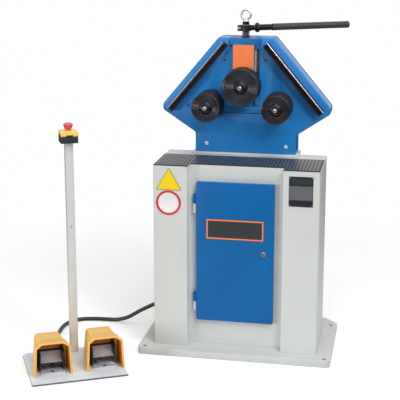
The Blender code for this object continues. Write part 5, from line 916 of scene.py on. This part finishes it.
for side, across in PEDALS_ACROSS.items():
    bm = copied(f"pedal_guard_{side}")
    lip_from = STAND @ Vector((across, MOUTH + LIP_DEPTH, 0))
    cut(bm, lip_from, stand_back)
    bm.normal_update()
    lip = [
        f for f in bm.faces
        if (f.calc_center_median() - lip_from).dot(stand_back) < 0 and abs(f.normal.dot(stand_back)) < 0.7
        and f.normal.z > -0.9
    ]
    bmesh.ops.inset_region(
        bm, faces=lip, thickness=0.0002, depth=LIP_HEIGHT, use_boundary=True, use_even_offset=True
    )
    dressed(bm, 0.0010, 2, 30)
    bm.normal_update()
    # Faces inside the hood take a darker, redder orange: painted shade.
    for face in bm.faces:
        away = to_stand @ face.calc_center_median() - Vector((across, 0, HOOD_MIDDLE))
        facing = to_stand.to_3x3() @ face.normal
        away.y = facing.y = 0
        face.material_index = 1 if facing.length > 0.5 and facing.dot(away) < 0 else 0
    guard_finishes = [guard_orange, guard_inside_painted_shade]
    piece(f"guard_moulded_{side}", bm, guard_finishes, [f"pedal_guard_{side}"], smooth=40)
    bm = copied(f"pedal_base_{side}")
    cut(bm, (0, 0, HOOD_LOW), (0, 0, 1))
    # The switch body's back above the hood's foot takes the same darker orange: painted shade.
    for face in bm.faces:
        place = to_stand @ face.calc_center_median()
        behind = place.y > HOUSING_FRONT and place.z > HOOD_LOW
        face.material_index = 2 if behind else 1 if place.z > FLOOR_TOP + 0.0003 else 0
    face_colour(bar(bm, STAND @ Vector((across, FLOOR_SCREW_Y, 0.0131)), 0.0062, 0.0016, "Z", 20), 1)
    base_finishes = [pedal_grey, pedal_black, guard_inside_painted_shade]
    piece(f"switch_body_{side}", bm, base_finishes, [f"pedal_base_{side}"])
    bm = dressed(copied(f"treadle_{side}"), 0.0008, 2, 50)
    along = Vector((0, -math.cos(SLOPE), -math.sin(SLOPE)))
    edge_from = STAND @ (Vector((across, PIVOT_BACK, PIVOT_UP)) + along * EDGE_AT)
    edge_way = STAND.to_3x3() @ along
    cut(bm, edge_from, edge_way)
    bmesh.ops.dissolve_degenerate(bm, dist=WELD, edges=bm.edges)
    face_colour([f for f in bm.faces if (f.calc_center_median() - edge_from).dot(edge_way) > 0], 1)
    node = f"treadle_{side}"
    piece(f"treadle_cast_{side}", bm, [pedal_grey, pedal_black], [node], f"pedal_{side}")

# Cable glands: black nylon, each with a hexagon, a domed nut and a ribbed sleeve where the cable
# leaves it.
gland_nylon = finish("gland_nylon", (32, 33, 35), 0.50, mottle=0.10, patch=60, grain=0.10)
for node in ("control_gland", "pedal_gland", "mains_gland"):
    dressed_piece(node + "_nylon", node, gland_nylon, 0.0004, 1, 50)

# Floor and backdrop: a plain pale studio floor under a white world. The floor keeps the machine's
# soft shadow, and fades to white away from it.
FLOOR_HALF, FLOOR_DROP, FLOOR_GREY, FLOOR_GLOW = 14, 0.0003, 0.86, 0.30
FADE_FROM, FADE_TO = 1.2, 2.4
WORLD_LIGHT, WHITE = 0.50, (1, 1, 1, 1)
floor_mesh = bpy.data.meshes.new("floor")
bm = bmesh.new()
bmesh.ops.create_grid(bm, x_segments=1, y_segments=1, size=FLOOR_HALF)
bmesh.ops.translate(bm, vec=(0, 0, -FLOOR_DROP), verts=bm.verts)
bm.to_mesh(floor_mesh)
bm.free()
floor = shown("floor", floor_mesh)
floor_pale = bpy.data.materials.new("floor_pale")
floor_pale.use_nodes = True
tree = floor_pale.node_tree
tree.nodes.remove(tree.nodes["Principled BSDF"])
seen = tree.nodes.new("ShaderNodeLightPath").outputs["Is Camera Ray"]
matte = added(tree, "ShaderNodeBsdfDiffuse", {"Color": (FLOOR_GREY, FLOOR_GREY, FLOOR_GREY, 1)})
lift = worked(tree, NUMBER, "MULTIPLY", seen, FLOOR_GLOW)
glow = added(tree, "ShaderNodeEmission", {"Color": WHITE, "Strength": lift})
both = added(tree, "ShaderNodeAddShader", {0: matte.outputs["BSDF"], 1: glow.outputs["Emission"]})
away = worked(tree, VECTOR, "LENGTH", tree.nodes.new("ShaderNodeTexCoord").outputs["Object"])
reach = added(tree, "ShaderNodeMapRange", {"Value": away, "From Min": FADE_FROM, "From Max": FADE_TO})
reach.interpolation_type = "SMOOTHSTEP"
white = added(tree, "ShaderNodeEmission", {"Color": WHITE, "Strength": seen})
fade = added(tree, "ShaderNodeMixShader", {
    0: reach.outputs["Result"], 1: both.outputs["Shader"], 2: white.outputs["Emission"],
})
fed(tree, tree.nodes["Material Output"], {"Surface": fade.outputs["Shader"]})
floor_mesh.materials.append(floor_pale)

world = bpy.data.worlds.new("studio")
bpy.context.scene.world = world
world.use_nodes = True
tree = world.node_tree
rays = tree.nodes.new("ShaderNodeLightPath").outputs
lit = rays["Is Camera Ray"]
for other in ("Is Transmission Ray", "Is Glossy Ray"):
    lit = worked(tree, NUMBER, "MAXIMUM", lit, rays[other])
level = added(tree, "ShaderNodeMapRange", {"Value": lit, "To Min": WORLD_LIGHT, "To Max": 1.0})
fed(tree, tree.nodes["Background"], {"Color": WHITE, "Strength": level.outputs["Result"]})

# Lamps: a key lamp high on the right, a tall fill lamp low on the left, and a top lamp over the
# machine. Each is a soft box.
for name, place, aim, wide, high, power in (
    ("key_light", (2.2, -2.6, 3.4), (0, 0.1, 0.9), 1.1, 1.1, 58),
    ("fill_light", (-3.4, -3.2, 0.7), (0, 0.1, 0.7), 0.8, 1.2, 55),
    ("top_light", (0.6, -1.2, 4.0), (0, 0.2, 0.9), 1.6, 1.6, 52),
):
    lamp = bpy.data.lights.new(name, "AREA")
    lamp.shape = "RECTANGLE"
    lamp.size, lamp.size_y = wide, high
    lamp.energy = power
    soft_box = shown(name, lamp)
    soft_box.location = place
    soft_box.rotation_euler = (Vector(place) - Vector(aim)).to_track_quat("Z", "Y").to_euler()
